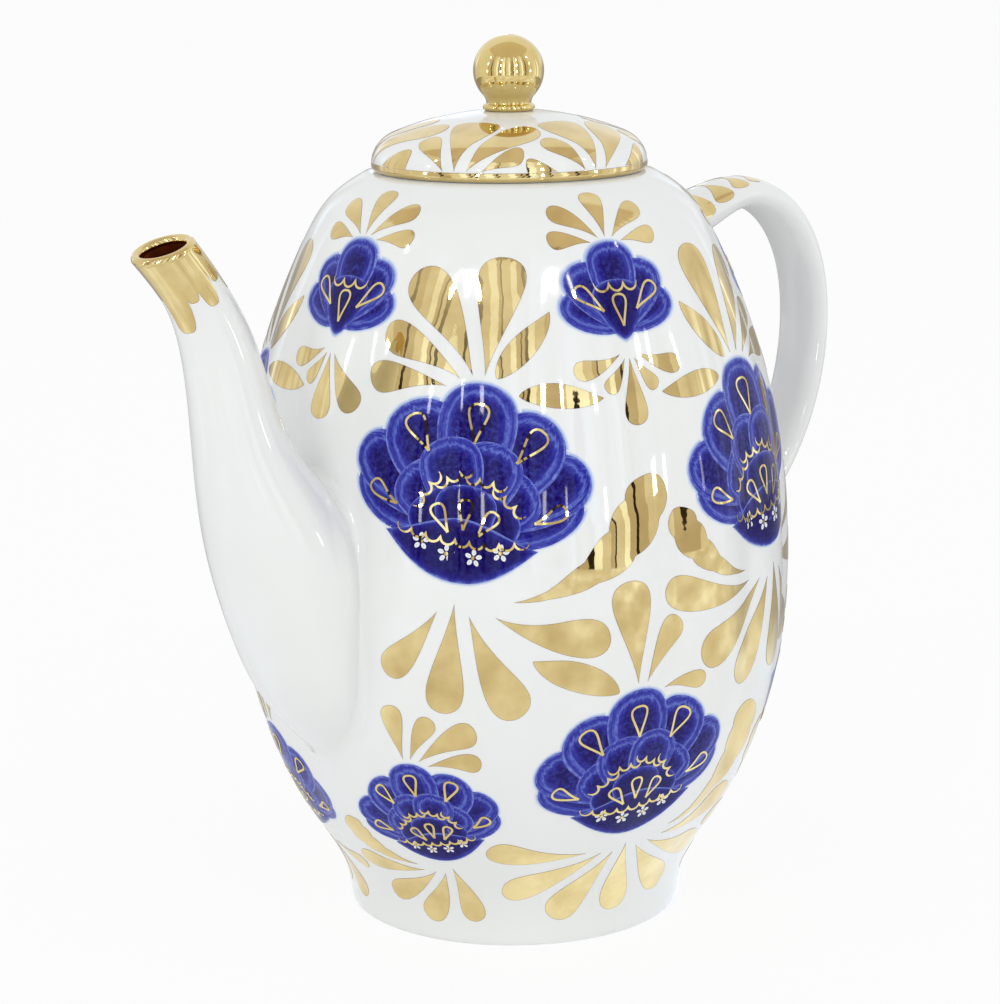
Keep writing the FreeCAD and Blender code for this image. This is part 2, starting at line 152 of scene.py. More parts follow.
class Profile:
    """The belly's outline, measured along its own length from the foot."""

    SAMPLES = 4000

    def __init__(self, levels):
        curve = Spline(levels)
        self.z, self.r = curve(np.linspace(0.0, curve.length, self.SAMPLES)).T
        self.r = self.r - GLAZE_INSET
        self.along = np.concatenate([[0.0], np.cumsum(np.hypot(np.diff(self.z), np.diff(self.r)))])
        self.length = self.along[-1]

    def at(self, along):
        return np.interp(along, self.along, self.z), np.interp(along, self.along, self.r)

    def along_at(self, z):
        return np.interp(z, self.z, self.along)

    def radius_at(self, z):
        return np.interp(z, self.z, self.r)


BELLY = Profile(BELLY_LEVELS)
SPOUT = Spline(SPOUT_SECTIONS)


def unit(vectors):
    return vectors / np.maximum(np.linalg.norm(vectors, axis=-1, keepdims=True), 1e-9)


def full_turn(count):
    return np.linspace(0.0, 2 * math.pi, count, endpoint=False)


def away(x, y, heading, distance):
    """The flat point at a distance from another one, in a heading given in degrees."""
    a = math.radians(heading)
    return x + distance * math.cos(a), y + distance * math.sin(a)


def arc(centre, radius, start, end, count):
    return [away(*centre, heading, radius) for heading in np.linspace(start, end, count)]


def groove(angle):
    """0 on top of a lobe, 1 in the crease between two, softly rounded there."""
    k = CREASE_SOFTNESS
    swell = np.sqrt(np.cos(LOBES * angle / 2) ** 2 + k * k)
    return (math.hypot(1.0, k) - swell) / (math.hypot(1.0, k) - k)


def crease(z):
    """Depth of the creases at a height: full at mid-belly, none at the foot and the crown."""
    low, high = FOOT_HEIGHT, RIM_HEIGHT - CROWN_DROP
    share = (2 * z - low - high) / (high - low)
    return CREASE * np.maximum(0.0, 1.0 - share * share)


def belly_radius(angle, z):
    return BELLY.radius_at(z) - crease(z) * groove(angle)


def cylinder_point(angle, radius, z):
    return np.stack([radius * np.cos(angle), radius * np.sin(angle), z + 0 * angle], axis=-1)


def belly_base(angle, along):
    z, r = BELLY.at(along)
    return cylinder_point(angle, r - crease(z) * groove(angle), z)


def lifted(surface, a, b, lift, step_a, step_b):
    """Points of a surface of two parameters, moved out along its normal."""
    point = surface(a, b)
    across = surface(a + step_a, b) - surface(a - step_a, b)
    along = surface(a, b + step_b) - surface(a, b - step_b)
    return point + lift * unit(np.cross(across, along))


# Steps, in radians and millimetres, over which the slopes of the belly are taken.
BELLY_STEPS = (0.004, 0.25)


def belly_chart(angle_deg, height):
    """Flat drawing to belly: u to the right and v up, in millimetres from a place on the belly."""
    middle = BELLY.along_at(height)

    def chart(u, v, lift):
        along = np.clip(middle + v, 0.5, BELLY.length - 0.5)
        radius = BELLY.at(along)[1]
        return lifted(belly_base, math.radians(angle_deg) + u / radius, along, lift, *BELLY_STEPS)

    return chart


# Meshes


def make_object(name, points, faces, material, attributes=None, smooth=None):
    """A mesh object; smooth says for each face whether it is shaded as curved, as all are by default."""
    mesh = bpy.data.meshes.new(name)
    mesh.from_pydata([tuple(p) for p in np.asarray(points) * MM], [], faces)
    for key, values in (attributes or {}).items():
        layer = mesh.attributes.new(key, "FLOAT", "POINT")
        layer.data.foreach_set("value", np.asarray(values, np.float32))
    tidy = bmesh.new()
    tidy.from_mesh(mesh)
    if smooth is None:
        bmesh.ops.remove_doubles(tidy, verts=tidy.verts, dist=1e-7)
    bmesh.ops.recalc_face_normals(tidy, faces=tidy.faces)
    for face, curved in zip(tidy.faces, smooth or [True] * len(tidy.faces)):
        face.smooth = curved
    for edge in tidy.edges:
        edge.smooth = all(face.smooth for face in edge.link_faces)
    tidy.to_mesh(mesh)
    tidy.free()
    mesh.materials.append(material)
    obj = bpy.data.objects.new(name, mesh)
    bpy.context.scene.collection.objects.link(obj)
    return obj


def grid_faces(rows, columns, wrap_rows=False, wrap_columns=False, first=0):
    """Quads of a grid of points that is numbered row by row."""
    faces = []
    for i in range(rows if wrap_rows else rows - 1):
        for j in range(columns if wrap_columns else columns - 1):
            i2, j2 = (i + 1) % rows, (j + 1) % columns
            corners = (i * columns + j, i * columns + j2, i2 * columns + j2, i2 * columns + j)
            faces.append(tuple(first + c for c in corners))
    return faces


def joined(name, rings, material, closed=False):
    """An object of rings of points, each joined to the next; closed, the last is joined to the first."""
    faces = grid_faces(len(rings), len(rings[0]), wrap_rows=closed, wrap_columns=True)
    return make_object(name, np.concatenate(rings), faces, material)


def revolved(name, outline, material, around):
    """A closed solid of revolution from an outline of (radius, z) that starts and ends on the axis."""
    return joined(name, [cylinder_point(full_turn(around), r, z) for r, z in outline], material)


def pierce(obj, *cutters):
    """Cut holes through an object with closed cutter objects, which are then deleted."""
    for cutter in cutters:
        modifier = obj.modifiers.new("hole", "BOOLEAN")
        modifier.operation = "DIFFERENCE"
        modifier.solver = "EXACT"
        modifier.object = cutter
    graph = bpy.context.evaluated_depsgraph_get()
    mesh = bpy.data.meshes.new_from_object(obj.evaluated_get(graph))
    obj.modifiers.clear()
    obj.data = mesh
    for cutter in cutters:
        bpy.data.objects.remove(cutter)


# A direction that no drilled hole runs along.
ASKEW = (0.31, 0.52, 0.79)


def drill(start, end, radius, material, sides=32):
    """A closed cylinder between two points, for cutting."""
    start, end = np.array(start), np.array(end)
    axis = unit(end - start)
    side = unit(np.cross(axis, ASKEW))
    other = np.cross(axis, side)
    turn = full_turn(sides)[:, None]
    ring = radius * (np.cos(turn) * side + np.sin(turn) * other)
    points = np.concatenate([start + ring, end + ring])
    caps = [tuple(range(sides)), tuple(range(2 * sides - 1, sides - 1, -1))]
    faces = grid_faces(2, sides, wrap_columns=True) + caps
    return make_object("drill", points, faces, material, smooth=[False] * len(faces))


# Materials


def fill(tree, node, *values, **settings):
    """Set up a node: its inputs, by place or by name, take values or the sockets that feed them."""
    for key, value in [*settings.items(), *enumerate(values)]:
        if isinstance(key, str) and key not in node.inputs:
            setattr(node, key, value)
        elif isinstance(value, bpy.types.NodeSocket):
            tree.links.new(value, node.inputs[key])
        else:
            node.inputs[key].default_value = value
    return node


def add_node(tree, kind, *values, **settings):
    return fill(tree, tree.nodes.new("ShaderNode" + kind), *values, **settings)


def new_material(name):
    material = bpy.data.materials.new(name)
    material.use_nodes = True
    tree = material.node_tree
    return material, tree, tree.nodes["Principled BSDF"]


def noise(tree, scale, detail=3.0, roughness=0.5):
    """Cloudy value in the object's own metres; the scale is in cycles a metre."""
    place = add_node(tree, "TexCoord").outputs["Object"]
    node = add_node(tree, "TexNoise", Vector=place, Scale=scale, Detail=detail, Roughness=roughness)
    return node.outputs["Fac"]


def streaks(tree, along, scale):
    """Cloudy value that changes along one other value alone."""
    node = add_node(tree, "TexNoise", noise_dimensions="1D", Scale=scale, Detail=3.0, Roughness=0.6)
    return fill(tree, node, W=along).outputs["Fac"]


def attribute(tree, name):
    return add_node(tree, "Attribute", attribute_name=name).outputs["Fac"]


def remap(tree, value, start=0.0, end=1.0, low=0.0, high=1.0):
    """Map the range from start to end to the one from low to high, and stop there."""
    ranges = {"From Min": start, "From Max": end, "To Min": low, "To Max": high}
    return add_node(tree, "MapRange", Value=value, **ranges).outputs["Result"]


def spread(tree, value, low, high):
    return remap(tree, value, low=low, high=high)


def combine(tree, operation, first, second):
    return add_node(tree, "Math", first, second, operation=operation).outputs["Value"]


def ramp(tree, value, stops, sharp=False):
    """Colours at places from 0 to 1; sharp, they change in steps."""
    node = add_node(tree, "ValToRGB", Fac=value)
    if sharp:
        node.color_ramp.interpolation = "CONSTANT"
    elements = node.color_ramp.elements
    while len(elements) < len(stops):
        elements.new(0.5)
    for element, (place, colour) in zip(elements, stops):
        element.position = place
        element.color = (*colour, 1.0)
    return node.outputs["Color"]


# Places of a Mix node's sockets for colours.
MIX_FIRST, MIX_SECOND, MIX_RESULT = 6, 7, 2


def blend(tree, factor, first, second):
    """Mix two colours, each a socket or a fixed colour."""
    node = add_node(tree, "Mix", factor, data_type="RGBA")
    for place, colour in ((MIX_FIRST, first), (MIX_SECOND, second)):
        if isinstance(colour, tuple):
            node.inputs[place].default_value = (*colour, 1.0)
        else:
            tree.links.new(colour, node.inputs[place])
    return node.outputs[MIX_RESULT]


def bump(tree, height, strength, distance):
    return add_node(tree, "Bump", Height=height, Strength=strength, Distance=distance).outputs["Normal"]


PORCELAIN_WHITE = (0.875, 0.89, 0.875)
PORCELAIN_SHADE = (0.855, 0.875, 0.865)
GLAZE_IOR = 1.52
GLAZE_ROUGHNESS = (0.035, 0.07)


def glaze_roughness(tree):
    return spread(tree, noise(tree, 60.0), *GLAZE_ROUGHNESS)


def porcelain():
    material, tree, shader = new_material("glazed porcelain")
    colour = ramp(tree, noise(tree, 28.0, 4.0), [(0.35, PORCELAIN_SHADE), (0.65, PORCELAIN_WHITE)])
    uneven = bump(tree, noise(tree, 90.0, 2.0), 0.05, 0.001)
    looks = {"Base Color": colour, "Roughness": glaze_roughness(tree), "IOR": GLAZE_IOR, "Normal": uneven}
    fill(tree, shader, **looks)
    return material


# Colours from a brush stroke's edge inwards, with their depths in millimetres.
COBALT_DEPTH = 5.0
COBALT_WASH = [
    (0.00, (0.19, 0.25, 0.64)), (0.30, (0.065, 0.078, 0.45)), (0.80, (0.020, 0.017, 0.28)),
    (1.25, (0.062, 0.080, 0.44)), (1.55, (0.14, 0.19, 0.59)), (1.95, (0.036, 0.040, 0.35)),
    (2.70, (0.014, 0.009, 0.21)), (3.80, (0.009, 0.002, 0.11)),
]
COBALT_SHADE = [
    (0.00, (0.15, 0.20, 0.58)), (0.30, (0.040, 0.045, 0.36)), (0.90, (0.013, 0.009, 0.19)),
    (1.80, (0.008, 0.002, 0.105)), (4.50, (0.006, 0.001, 0.085)),
]
COBALT_HALO = [
    (0.00, (0.868, 0.885, 0.872)), (0.25, (0.80, 0.835, 0.865)), (0.60, (0.52, 0.62, 0.83)),
    (1.00, (0.30, 0.40, 0.74)),
]
COBALT_BLOOM = (0.045, 0.055, 0.40)
COBALT_GLOSS = 0.15


def cobalt(name, stops, wander, bloom):
    """Underglaze blue that changes from a stroke's edge inwards, and wanders, streaks and blooms."""
    material, tree, shader = new_material(name)
    blots = spread(tree, noise(tree, 520.0, 5.0, 0.65), -wander, wander)
    hairs = spread(tree, streaks(tree, attribute(tree, "stroke"), 7.0), -wander, wander)
    depth = combine(tree, "ADD", attribute(tree, "edge"), combine(tree, "ADD", blots, hairs))
    share = combine(tree, "DIVIDE", depth, COBALT_DEPTH)
    colour = ramp(tree, share, [(place / COBALT_DEPTH, tone) for place, tone in stops])
    if bloom:
        patches = remap(tree, noise(tree, 1100.0, 4.0, 0.6), 0.44, 0.66, 0.0, bloom)
        colour = blend(tree, patches, colour, COBALT_BLOOM)
    looks = {"Base Color": colour, "Roughness": glaze_roughness(tree), "Specular IOR Level": COBALT_GLOSS}
    fill(tree, shader, **looks)
    return material


GOLD_LIGHT = (0.74, 0.58, 0.275)
GOLD_WARM = (0.62, 0.465, 0.20)
GILDING_LIGHT = (0.745, 0.58, 0.248)
GILDING_WARM = (0.625, 0.465, 0.176)
# Brown where the gold thins at a leaf's edge; at the lower hem of the lid's band the same brown is a painted
# shadow of the gap under the lid.
GOLD_THIN_EDGE_AND_GAP_SHADE = (0.36, 0.28, 0.20)
GOLD_EDGE_AND_SHADE_WIDTH = 0.16
GOLD_ROUGHNESS = (0.012, 0.04)


def gold(name, light, warm, edged=True):
    """Burnished gold, a little uneven; edged, it thins out to brown at the edge of each leaf, and at the lid
    band's lower hem that brown is a painted shadow.
    """
    material, tree, shader = new_material(name)
    colour = ramp(tree, noise(tree, 110.0, 4.0, 0.55), [(0.35, warm), (0.62, light)])
    if edged:
        inside = remap(tree, attribute(tree, "edge"), 0.0, GOLD_EDGE_AND_SHADE_WIDTH)
        colour = blend(tree, inside, GOLD_THIN_EDGE_AND_GAP_SHADE, colour)
    rough = spread(tree, noise(tree, 300.0), *GOLD_ROUGHNESS)
    uneven = bump(tree, noise(tree, 160.0, 2.0), 0.03, 0.0004)
    fill(tree, shader, **{"Base Color": colour, "Metallic": 1.0, "Roughness": rough, "Normal": uneven})
    return material


LUSTRE_TONES = [(0.3, (0.060, 0.009, 0.001)), (0.7, (0.14, 0.024, 0.003))]
LUSTRE_ROUGHNESS = (0.35, 0.5)
LUSTRE_GLOSS = 0.15


def lustre():
    """The brown bloom of thin gold inside the spout."""
    material, tree, shader = new_material("brown lustre")
    colour = ramp(tree, noise(tree, 300.0), LUSTRE_TONES)
    rough = spread(tree, noise(tree, 420.0), *LUSTRE_ROUGHNESS)
    fill(tree, shader, **{"Base Color": colour, "Roughness": rough, "Specular IOR Level": LUSTRE_GLOSS})
    return material


PORCELAIN = porcelain()
COBALT = cobalt("cobalt wash", COBALT_WASH, 0.8, 0.55)
NAVY = cobalt("cobalt shade", COBALT_SHADE, 0.7, 0.22)
HALO = cobalt("cobalt halo", COBALT_HALO, 0.2, 0.0)
GOLD = gold("burnished gold", GOLD_LIGHT, GOLD_WARM)
GILDING = gold("gilding", GILDING_LIGHT, GILDING_WARM, edged=False)
LUSTRE = lustre()


# Pot


def foot_outline():
    """The underside and the foot ring, from the axis outwards, as (radius, z)."""
    foot = BELLY.at(0.0)[1]
    inside = foot - FOOT_RING_WIDTH
    outline = [(0.0, FOOT_RECESS), (inside * 0.5, FOOT_RECESS), (inside - FOOT_SOFT, FOOT_RECESS)]
    outline += [(inside, FOOT_RECESS - FOOT_SOFT), (inside, FOOT_SOFT)]
    outline += arc((inside + FOOT_SOFT, FOOT_SOFT), FOOT_SOFT, 180, 270, 5)
    return outline + arc((foot - FOOT_SOFT, FOOT_SOFT), FOOT_SOFT, 270, 340, 5)


def inner_outline():
    """The rim, and the inside from there down to the middle of the floor, as (radius, z)."""
    flat = RIM_HEIGHT - GLAZE_INSET / 3
    outside = BELLY.at(BELLY.length)[1]
    outline = [(outside - 0.35, RIM_HEIGHT - 0.28)]
    outline += [(outside - RIM_SOFT, flat), (MOUTH_RADIUS + RIM_SOFT, flat)]
    outline += arc((MOUTH_RADIUS + RIM_SOFT, RIM_HEIGHT - RIM_SOFT), RIM_SOFT, 100, 180, 6)
    outline += [(MOUTH_RADIUS, RIM_HEIGHT - WALL)]
    floor = FOOT_RECESS + FLOOR_THICKNESS
    for z in np.linspace(RIM_HEIGHT - WALL - 1.5, floor + FLOOR_SOFT, 42):
        slope = (BELLY.radius_at(z + 1) - BELLY.radius_at(z - 1)) / 2
        outline.append((max(MOUTH_RADIUS, BELLY.radius_at(z) - WALL * math.hypot(1.0, slope)), z))
    edge = outline[-1][0] - 1.0
    outline += arc((edge - FLOOR_SOFT, floor + FLOOR_SOFT), FLOOR_SOFT, -10, -90, 6)
    return outline + [(edge * 0.5, floor), (0.0, floor)]


def strainer_drills():
    middle = BELLY_HEIGHT - STRAINER["drop"]
    places = [(0.0, middle)]
    for hole in range(STRAINER["ring"]):
        places.append(away(0.0, middle, 90 - 360 * hole / STRAINER["ring"], STRAINER["pitch"]))
    near, far = -BELLY_RADIUS + 3 * WALL, -BELLY_RADIUS - WALL
    return [drill((near, y, z), (far, y, z), STRAINER["hole"] / 2, PORCELAIN) for y, z in places]


def make_pot():
    """The whole shell: from the middle of its underside up the outside, over the rim and down inside."""
    angles = full_turn(LOBES * 20)
    rings = [cylinder_point(angles, r, z) for r, z in foot_outline()]
    for along in np.linspace(BELLY.along_at(FOOT_EASE), BELLY.along_at(RIM_HEIGHT) - RIM_SOFT, 190):
        rings.append(belly_base(angles, along))
    rings += [cylinder_point(angles, r, z) for r, z in inner_outline()]
    pot = joined("porcelain_pot", rings, PORCELAIN)
    pierce(pot, *strainer_drills())
    return pot


# Spout and handle


def oval_point(rows, turn, inset=0.0):
    """Points of leaning ovals: rows of x, z, half length, half width and tilt, and turns round each."""
    tilt = np.radians(rows[..., 4])
    reach = (rows[..., 2] - inset) * np.cos(turn)
    width = (rows[..., 3] - inset) * np.sin(turn)
    x = rows[..., 0] + reach * np.cos(tilt)
    z = rows[..., 1] + reach * np.sin(tilt)
    return np.stack([x, width, z], axis=-1)


def outside_belly(points):
    angle = np.arctan2(points[..., 1], points[..., 0])
    return np.hypot(points[..., 0], points[..., 1]) - belly_radius(angle, points[..., 2])


def on_belly(points, depth):
    """Points moved along their radius to lie a little under the belly's surface."""
    angle = np.arctan2(points[..., 1], points[..., 0])
    z = points[..., 2]
    return cylinder_point(angle, belly_radius(angle, z) - depth, z)


def belly_normal(points):
    angle = np.arctan2(points[..., 1], points[..., 0])
    along = BELLY.along_at(points[..., 2])
    return unit(lifted(belly_base, angle, along, 1.0, *BELLY_STEPS) - belly_base(angle, along))


ROOT_SAMPLES = 600
ROOT_STEP = 0.02
FILLET_ROWS = 12


def root_rows(surface, turns, start, end, fillet, rows, bury=0.12):
    """Rows of a branch from a clear place down to the belly, ending in a soft fillet laid on it.

    surface(turn, at) gives the branch's points; start is clear of the belly and end is inside it."""
    ats = np.linspace(start, end, ROOT_SAMPLES)
    points = surface(turns[None, :], ats[:, None])
    first = np.argmax(outside_belly(points) < 0.0, axis=0)
    column = np.arange(len(turns))
    before, after = points[first - 1, column], points[first, column]
    above, under = outside_belly(before), outside_belly(after)
    gap = ats[first] - ats[first - 1]
    meet_at = ats[first - 1] + gap * above / (above - under)
    meet = surface(turns, meet_at)
    leave_at = meet_at - fillet * gap / np.maximum(np.linalg.norm(before - after, axis=-1), 1e-6)
    leave = surface(turns, leave_at)
    side = surface(turns + ROOT_STEP, meet_at) - surface(turns - ROOT_STEP, meet_at)
    outward = np.cross(side, leave - meet)
    outward *= np.sign(np.sum(outward * (meet - meet.mean(axis=0)), axis=-1, keepdims=True))
    outward = unit(outward)
    normal = belly_normal(meet)
    flat = unit(outward - np.sum(outward * normal, axis=-1, keepdims=True) * normal)
    land = on_belly(meet + fillet * flat, bury)
    meet = on_belly(meet, -bury / 3)
    grid = []
    for share in np.linspace(0.0, 1.0, rows):
        grid.append(surface(turns, start + (leave_at - start) * share))
    for w in np.linspace(0.0, 1.0, FILLET_ROWS)[1:]:
        grid.append((1 - w) ** 2 * leave + 2 * w * (1 - w) * meet + w ** 2 * land)
    return grid


LIP_TILT, LIP_WALL = SPOUT_SECTIONS[-1][4:]
LIP_TOP = SPOUT.length - LIP_WALL / 2
LIP_UP = np.array([-math.sin(math.radians(LIP_TILT)), 0.0, math.cos(math.radians(LIP_TILT))])
LIP_ROLL = np.linspace(0.0, math.pi, 11)
# Where the search for the belly ends, inside the spout's toe.
SPOUT_TOE = SPOUT.length * 0.01
BORE_TOE = SPOUT.length * 0.03


def spout_outside(turn, at):
    return oval_point(SPOUT(at), turn, GLAZE_INSET)


def spout_bore(turn, at):
    rows = SPOUT(at)
    return oval_point(rows, turn, rows[..., 5])


def rolled_lip(outer, inner, height):
    """Rings from an outer one over the spout's lip to an inner one."""
    middle, half = (outer + inner) / 2, (outer - inner) / 2
    return [middle + half * math.cos(a) + LIP_UP * height * math.sin(a) for a in LIP_ROLL]


def make_spout():
    turns = full_turn(SPOUT_AROUND)
    outside = root_rows(spout_outside, turns, LIP_TOP, SPOUT_TOE, SPOUT_FILLET, 110)
    lip = rolled_lip(spout_outside(turns, LIP_TOP), spout_bore(turns, LIP_TOP), LIP_WALL / 2)
    bore = root_rows(spout_bore, turns, LIP_TOP, BORE_TOE, 0.5, 60, bury=0.6)
    return joined("porcelain_spout", outside[::-1] + lip[1:-1] + bore, PORCELAIN, closed=True)


def handle_sections():
    """x, z, half thickness, half width and lean of the handle's ovals, from the shoulder to the belly."""
    rows = [
        (NECK_RADIUS - 10.0, RIM_HEIGHT - 17.0, 7.0, 8.5, -85.0),
        (NECK_RADIUS + 15.5, RIM_HEIGHT - 15.3, 5.5, 7.75, -80.0),
        (*HANDLE_APEX, *HANDLE_GRIP, -90.0),
    ]
    for turn in (30, 60, 90):
        a = math.radians(turn)
        x = HANDLE_APEX[0] + (HANDLE_SIDE[0] - HANDLE_APEX[0]) * math.sin(a)
        z = HANDLE_SIDE[1] + (HANDLE_APEX[1] - HANDLE_SIDE[1]) * math.cos(a)
        rows.append((x, z, *HANDLE_GRIP, -90.0 - turn))
    for turn in (HANDLE_BACK_TURN / 2, HANDLE_BACK_TURN):
        a = math.radians(turn)
        x = HANDLE_SIDE[0] - HANDLE_BACK_RADIUS * (1 - math.cos(a))
        z = HANDLE_SIDE[1] - HANDLE_BACK_RADIUS * math.sin(a)
        rows.append((x, z, *HANDLE_GRIP, -180.0 - turn))
    tail = HIP_RADIUS - 10.0
    rows.append((tail, z - (x - tail) / math.tan(a), 5.5, 8.25, -180.0 - turn))
    return rows


HANDLE = Spline(handle_sections())
HANDLE_MIDDLE = HANDLE.length * 0.5
# Share of its radius to which the closed ends of the handle sink into the belly.
HANDLE_SINK = np.array([0.97, 0.97, 1.0])


def handle_surface(turn, at):
    return oval_point(HANDLE(at), turn, GLAZE_INSET)


def make_handle():
    turns = full_turn(HANDLE_AROUND)
    upper = root_rows(handle_surface, turns, HANDLE_MIDDLE, 0.0, HANDLE_FILLET, 90)
    lower = root_rows(handle_surface, turns, HANDLE_MIDDLE, HANDLE.length, HANDLE_FILLET, 70)
    rings = upper[::-1] + lower[1:]
    ends = [np.tile(ring.mean(axis=0) * HANDLE_SINK, (HANDLE_AROUND, 1)) for ring in (rings[0], rings[-1])]
    return joined("porcelain_handle", [ends[0], *rings, ends[1]], PORCELAIN)


# Lid and knob


def lid_crown():
    """Height on the axis and radius of the crown's arc, which runs from the land into the shoulder."""
    low, high = -500.0, RIM_HEIGHT
    for _ in range(60):
        z = (low + high) / 2
        radius = math.hypot(LID_LAND_RADIUS, LID_TOP - z)
        if radius > LID_SHOULDER + math.hypot(LID_TURN[0], LID_TURN[1] - z):
            low = z
        else:
            high = z
    return z, radius


CROWN_Z, CROWN_RADIUS = lid_crown()


def lid_outline():
    """The lid's outside, from the seat's edge to the flat under the knob, as (radius, z)."""
    meet = math.degrees(math.atan2(LID_TURN[1] - CROWN_Z, LID_TURN[0]))
    land = math.degrees(math.atan2(LID_TOP - CROWN_Z, LID_LAND_RADIUS))
    edge = arc((LID_RADIUS - LID_EDGE_ROUND, LID_TURN[1]), LID_EDGE_ROUND, -88, 0, 8)
    shoulder = arc(LID_TURN, LID_SHOULDER, 0, meet, 26)[1:]
    return edge + shoulder + arc((0.0, CROWN_Z), CROWN_RADIUS, meet, land, 44)[1:]


LID_OUTLINE = np.array(lid_outline())
LID_ALONG = np.concatenate([[0.0], np.cumsum(np.linalg.norm(np.diff(LID_OUTLINE, axis=0), axis=1))])


def lid_base(angle, along):
    radius, z = (np.interp(along, LID_ALONG, column) for column in LID_OUTLINE.T)
    return cylinder_point(angle, radius, z)


def lid_chart(angle_deg, up):
    """Flat drawing to lid: u round it and v up from its edge."""

    def chart(u, v, lift):
        along = np.clip(up + v, 0.3, LID_ALONG[-1] - 0.3)
        radius = np.interp(along, LID_ALONG, LID_OUTLINE[:, 0])
        return lifted(lid_base, math.radians(angle_deg) + u / radius, along, lift, 0.004, 0.2)

    return chart


def make_lid():
    under = CROWN_RADIUS - LID_WALL
    ceiling_end = math.degrees(math.acos(COLLAR_INSIDE / under))
    hem = COLLAR_HEM + LID_SOFT
    outline = [(0.0, CROWN_Z + under)] + arc((0.0, CROWN_Z), under, 88, ceiling_end + 1.0, 14)
    outline += [(COLLAR_INSIDE, COLLAR_HEM + 6.0)]
    outline += arc((COLLAR_INSIDE + LID_SOFT, hem), LID_SOFT, 180, 270, 5)
    outline += arc((COLLAR_OUTSIDE - LID_SOFT, hem), LID_SOFT, 270, 360, 5)
    outline += [(COLLAR_OUTSIDE, RIM_HEIGHT - LID_SOFT), (COLLAR_OUTSIDE + LID_SOFT, RIM_HEIGHT + 0.02)]
    outline += [tuple(p) for p in LID_OUTLINE] + [(0.0, LID_TOP)]
    lid = revolved("porcelain_lid", outline, PORCELAIN, 192)
    low, high = (VENT_OFFSET, 0, RIM_HEIGHT), (VENT_OFFSET, 0, LID_TOP + 5)
    pierce(lid, drill(low, high, VENT_HOLE / 2, PORCELAIN))
    return lid


def make_knob():
    neck_z = LID_TOP + KNOB_RING
    reach = KNOB_NECK + KNOB_FILLET
    ball_z = neck_z + math.sqrt((KNOB_RADIUS + KNOB_FILLET) ** 2 - reach ** 2)
    turn = math.degrees(math.atan2(ball_z - neck_z, -reach))
    roll = KNOB_RING / 2
    outline = [(0.0, LID_TOP)] + arc((KNOB_NECK, LID_TOP + roll), roll, -90, 84, 12)
    outline += arc((reach, neck_z), KNOB_FILLET, 178, turn, 12)
    outline += arc((0.0, ball_z), KNOB_RADIUS, turn - 180, 90, 60)[1:-1] + [(0.0, ball_z + KNOB_RADIUS)]
    return revolved("gilded_knob", outline, GILDING, 128)


# Painting: flat drawings of leaves, petals and lines, laid on a surface as thin closed patches


class Layer:
    """Thin closed patches in one mesh; each point has its depth in a patch and place across a stroke."""

    def __init__(self, name, material):
        self.name, self.material = name, material
        self.points, self.faces, self.smooth = [], [], []
        self.values = {"edge": [], "stroke": []}
        self.count = 0

    def add(self, top, bottom, edge, stroke):
        """Add a patch: its top, a wall all round it and an underside."""
        rows, columns = top.shape[:2]
        last_row, last_column = rows - 1, columns - 1
        loop = [(0, j) for j in range(columns)] + [(i, last_column) for i in range(1, rows)]
        loop += [(last_row, j) for j in range(columns - 2, -1, -1)]
        loop += [(i, 0) for i in range(rows - 2, 0, -1)]
        size, first = len(loop), self.count
        base = first + rows * columns
        above = [first + i * columns + j for i, j in loop]
        below = {place: base + k for k, place in enumerate(loop)}
        walls = []
        for k in range(size):
            k2 = (k + 1) % size
            walls.append((above[k2], above[k], base + k, base + k2))
        # The underside is a ladder from edge to edge, so that it can't bulge out of the surface.
        left, right = ([below[i, j] for i in range(rows)] for j in (0, last_column))
        rungs = [(left[i], left[i + 1], right[i + 1], right[i]) for i in range(1, rows - 2)]
        foot, head = (tuple(below[i, j] for j in range(columns)) for i in (0, last_row))
        rungs += [foot[::-1] + (left[1], right[1]), head + (right[-2], left[-2])]
        tops = grid_faces(rows, columns, first=first)
        self.faces += tops + walls + rungs
        self.smooth += [True] * len(tops) + [False] * len(walls + rungs)
        self.points += [top.reshape(-1, 3), np.array([bottom[place] for place in loop])]
        for key, values in (("edge", edge), ("stroke", stroke)):
            self.values[key] += [values.reshape(-1), np.zeros(size)]
        self.count = base + size

    def build(self):
        points = np.concatenate(self.points)
        values = {key: np.concatenate(parts) for key, parts in self.values.items()}
        return make_object(self.name, points, self.faces, self.material, values, self.smooth)


def drop_shape(s):
    """Half width along a comma-shaped leaf: pointed at its base, round at its tip."""
    return s ** 1.25 * np.sqrt(np.maximum(1 - s ** 5, 0)) / 0.62


def petal_shape(s):
    """Half width along a full petal: narrow at its base, broad and round at its tip."""
    return s ** 0.62 * np.sqrt(np.maximum(1 - s ** 4, 0)) / 0.74


def flame_shape(s):
    """Half width along a flame: pointed at both ends, broadest before its middle."""
    return s ** 0.7 * (1 - s) ** 0.85 / 0.34


def plume_shape(s):
    """Half width along a broad leaf with a lobed edge."""
    return drop_shape(s) * (0.80 + 0.20 * np.abs(np.cos(4.5 * math.pi * s ** 1.25)) ** 0.7)


def lens_shape(s):
    return np.sin(math.pi * s) ** 1.1


def disc_shape(s):
    return 2 * np.sqrt(np.maximum(s * (1 - s), 0))


def spine(start, heading, length, bend, s, sway=0.0):
    """Points and headings, in radians, of a curve that turns by a bend and, mostly at its end, a sway."""
    fine = np.linspace(0.0, 1.0, 65)
    turned = heading + bend * fine + sway * fine ** 3
    steps = np.stack([np.cos(turned), np.sin(turned)], axis=-1) * length
    middle = (steps[1:] + steps[:-1]) / 2 * (fine[1] - fine[0])
    path = np.concatenate([[[0.0, 0.0]], np.cumsum(middle, axis=0)]) + np.asarray(start, float)
    points = np.stack([np.interp(s, fine, path[:, 0]), np.interp(s, fine, path[:, 1])], axis=-1)
    return points, heading + bend * s + sway * s ** 3


def eased(count):
    """Places from 0 to 1 that crowd at both ends."""
    return (1 - np.cos(np.linspace(0.0, math.pi, count))) / 2


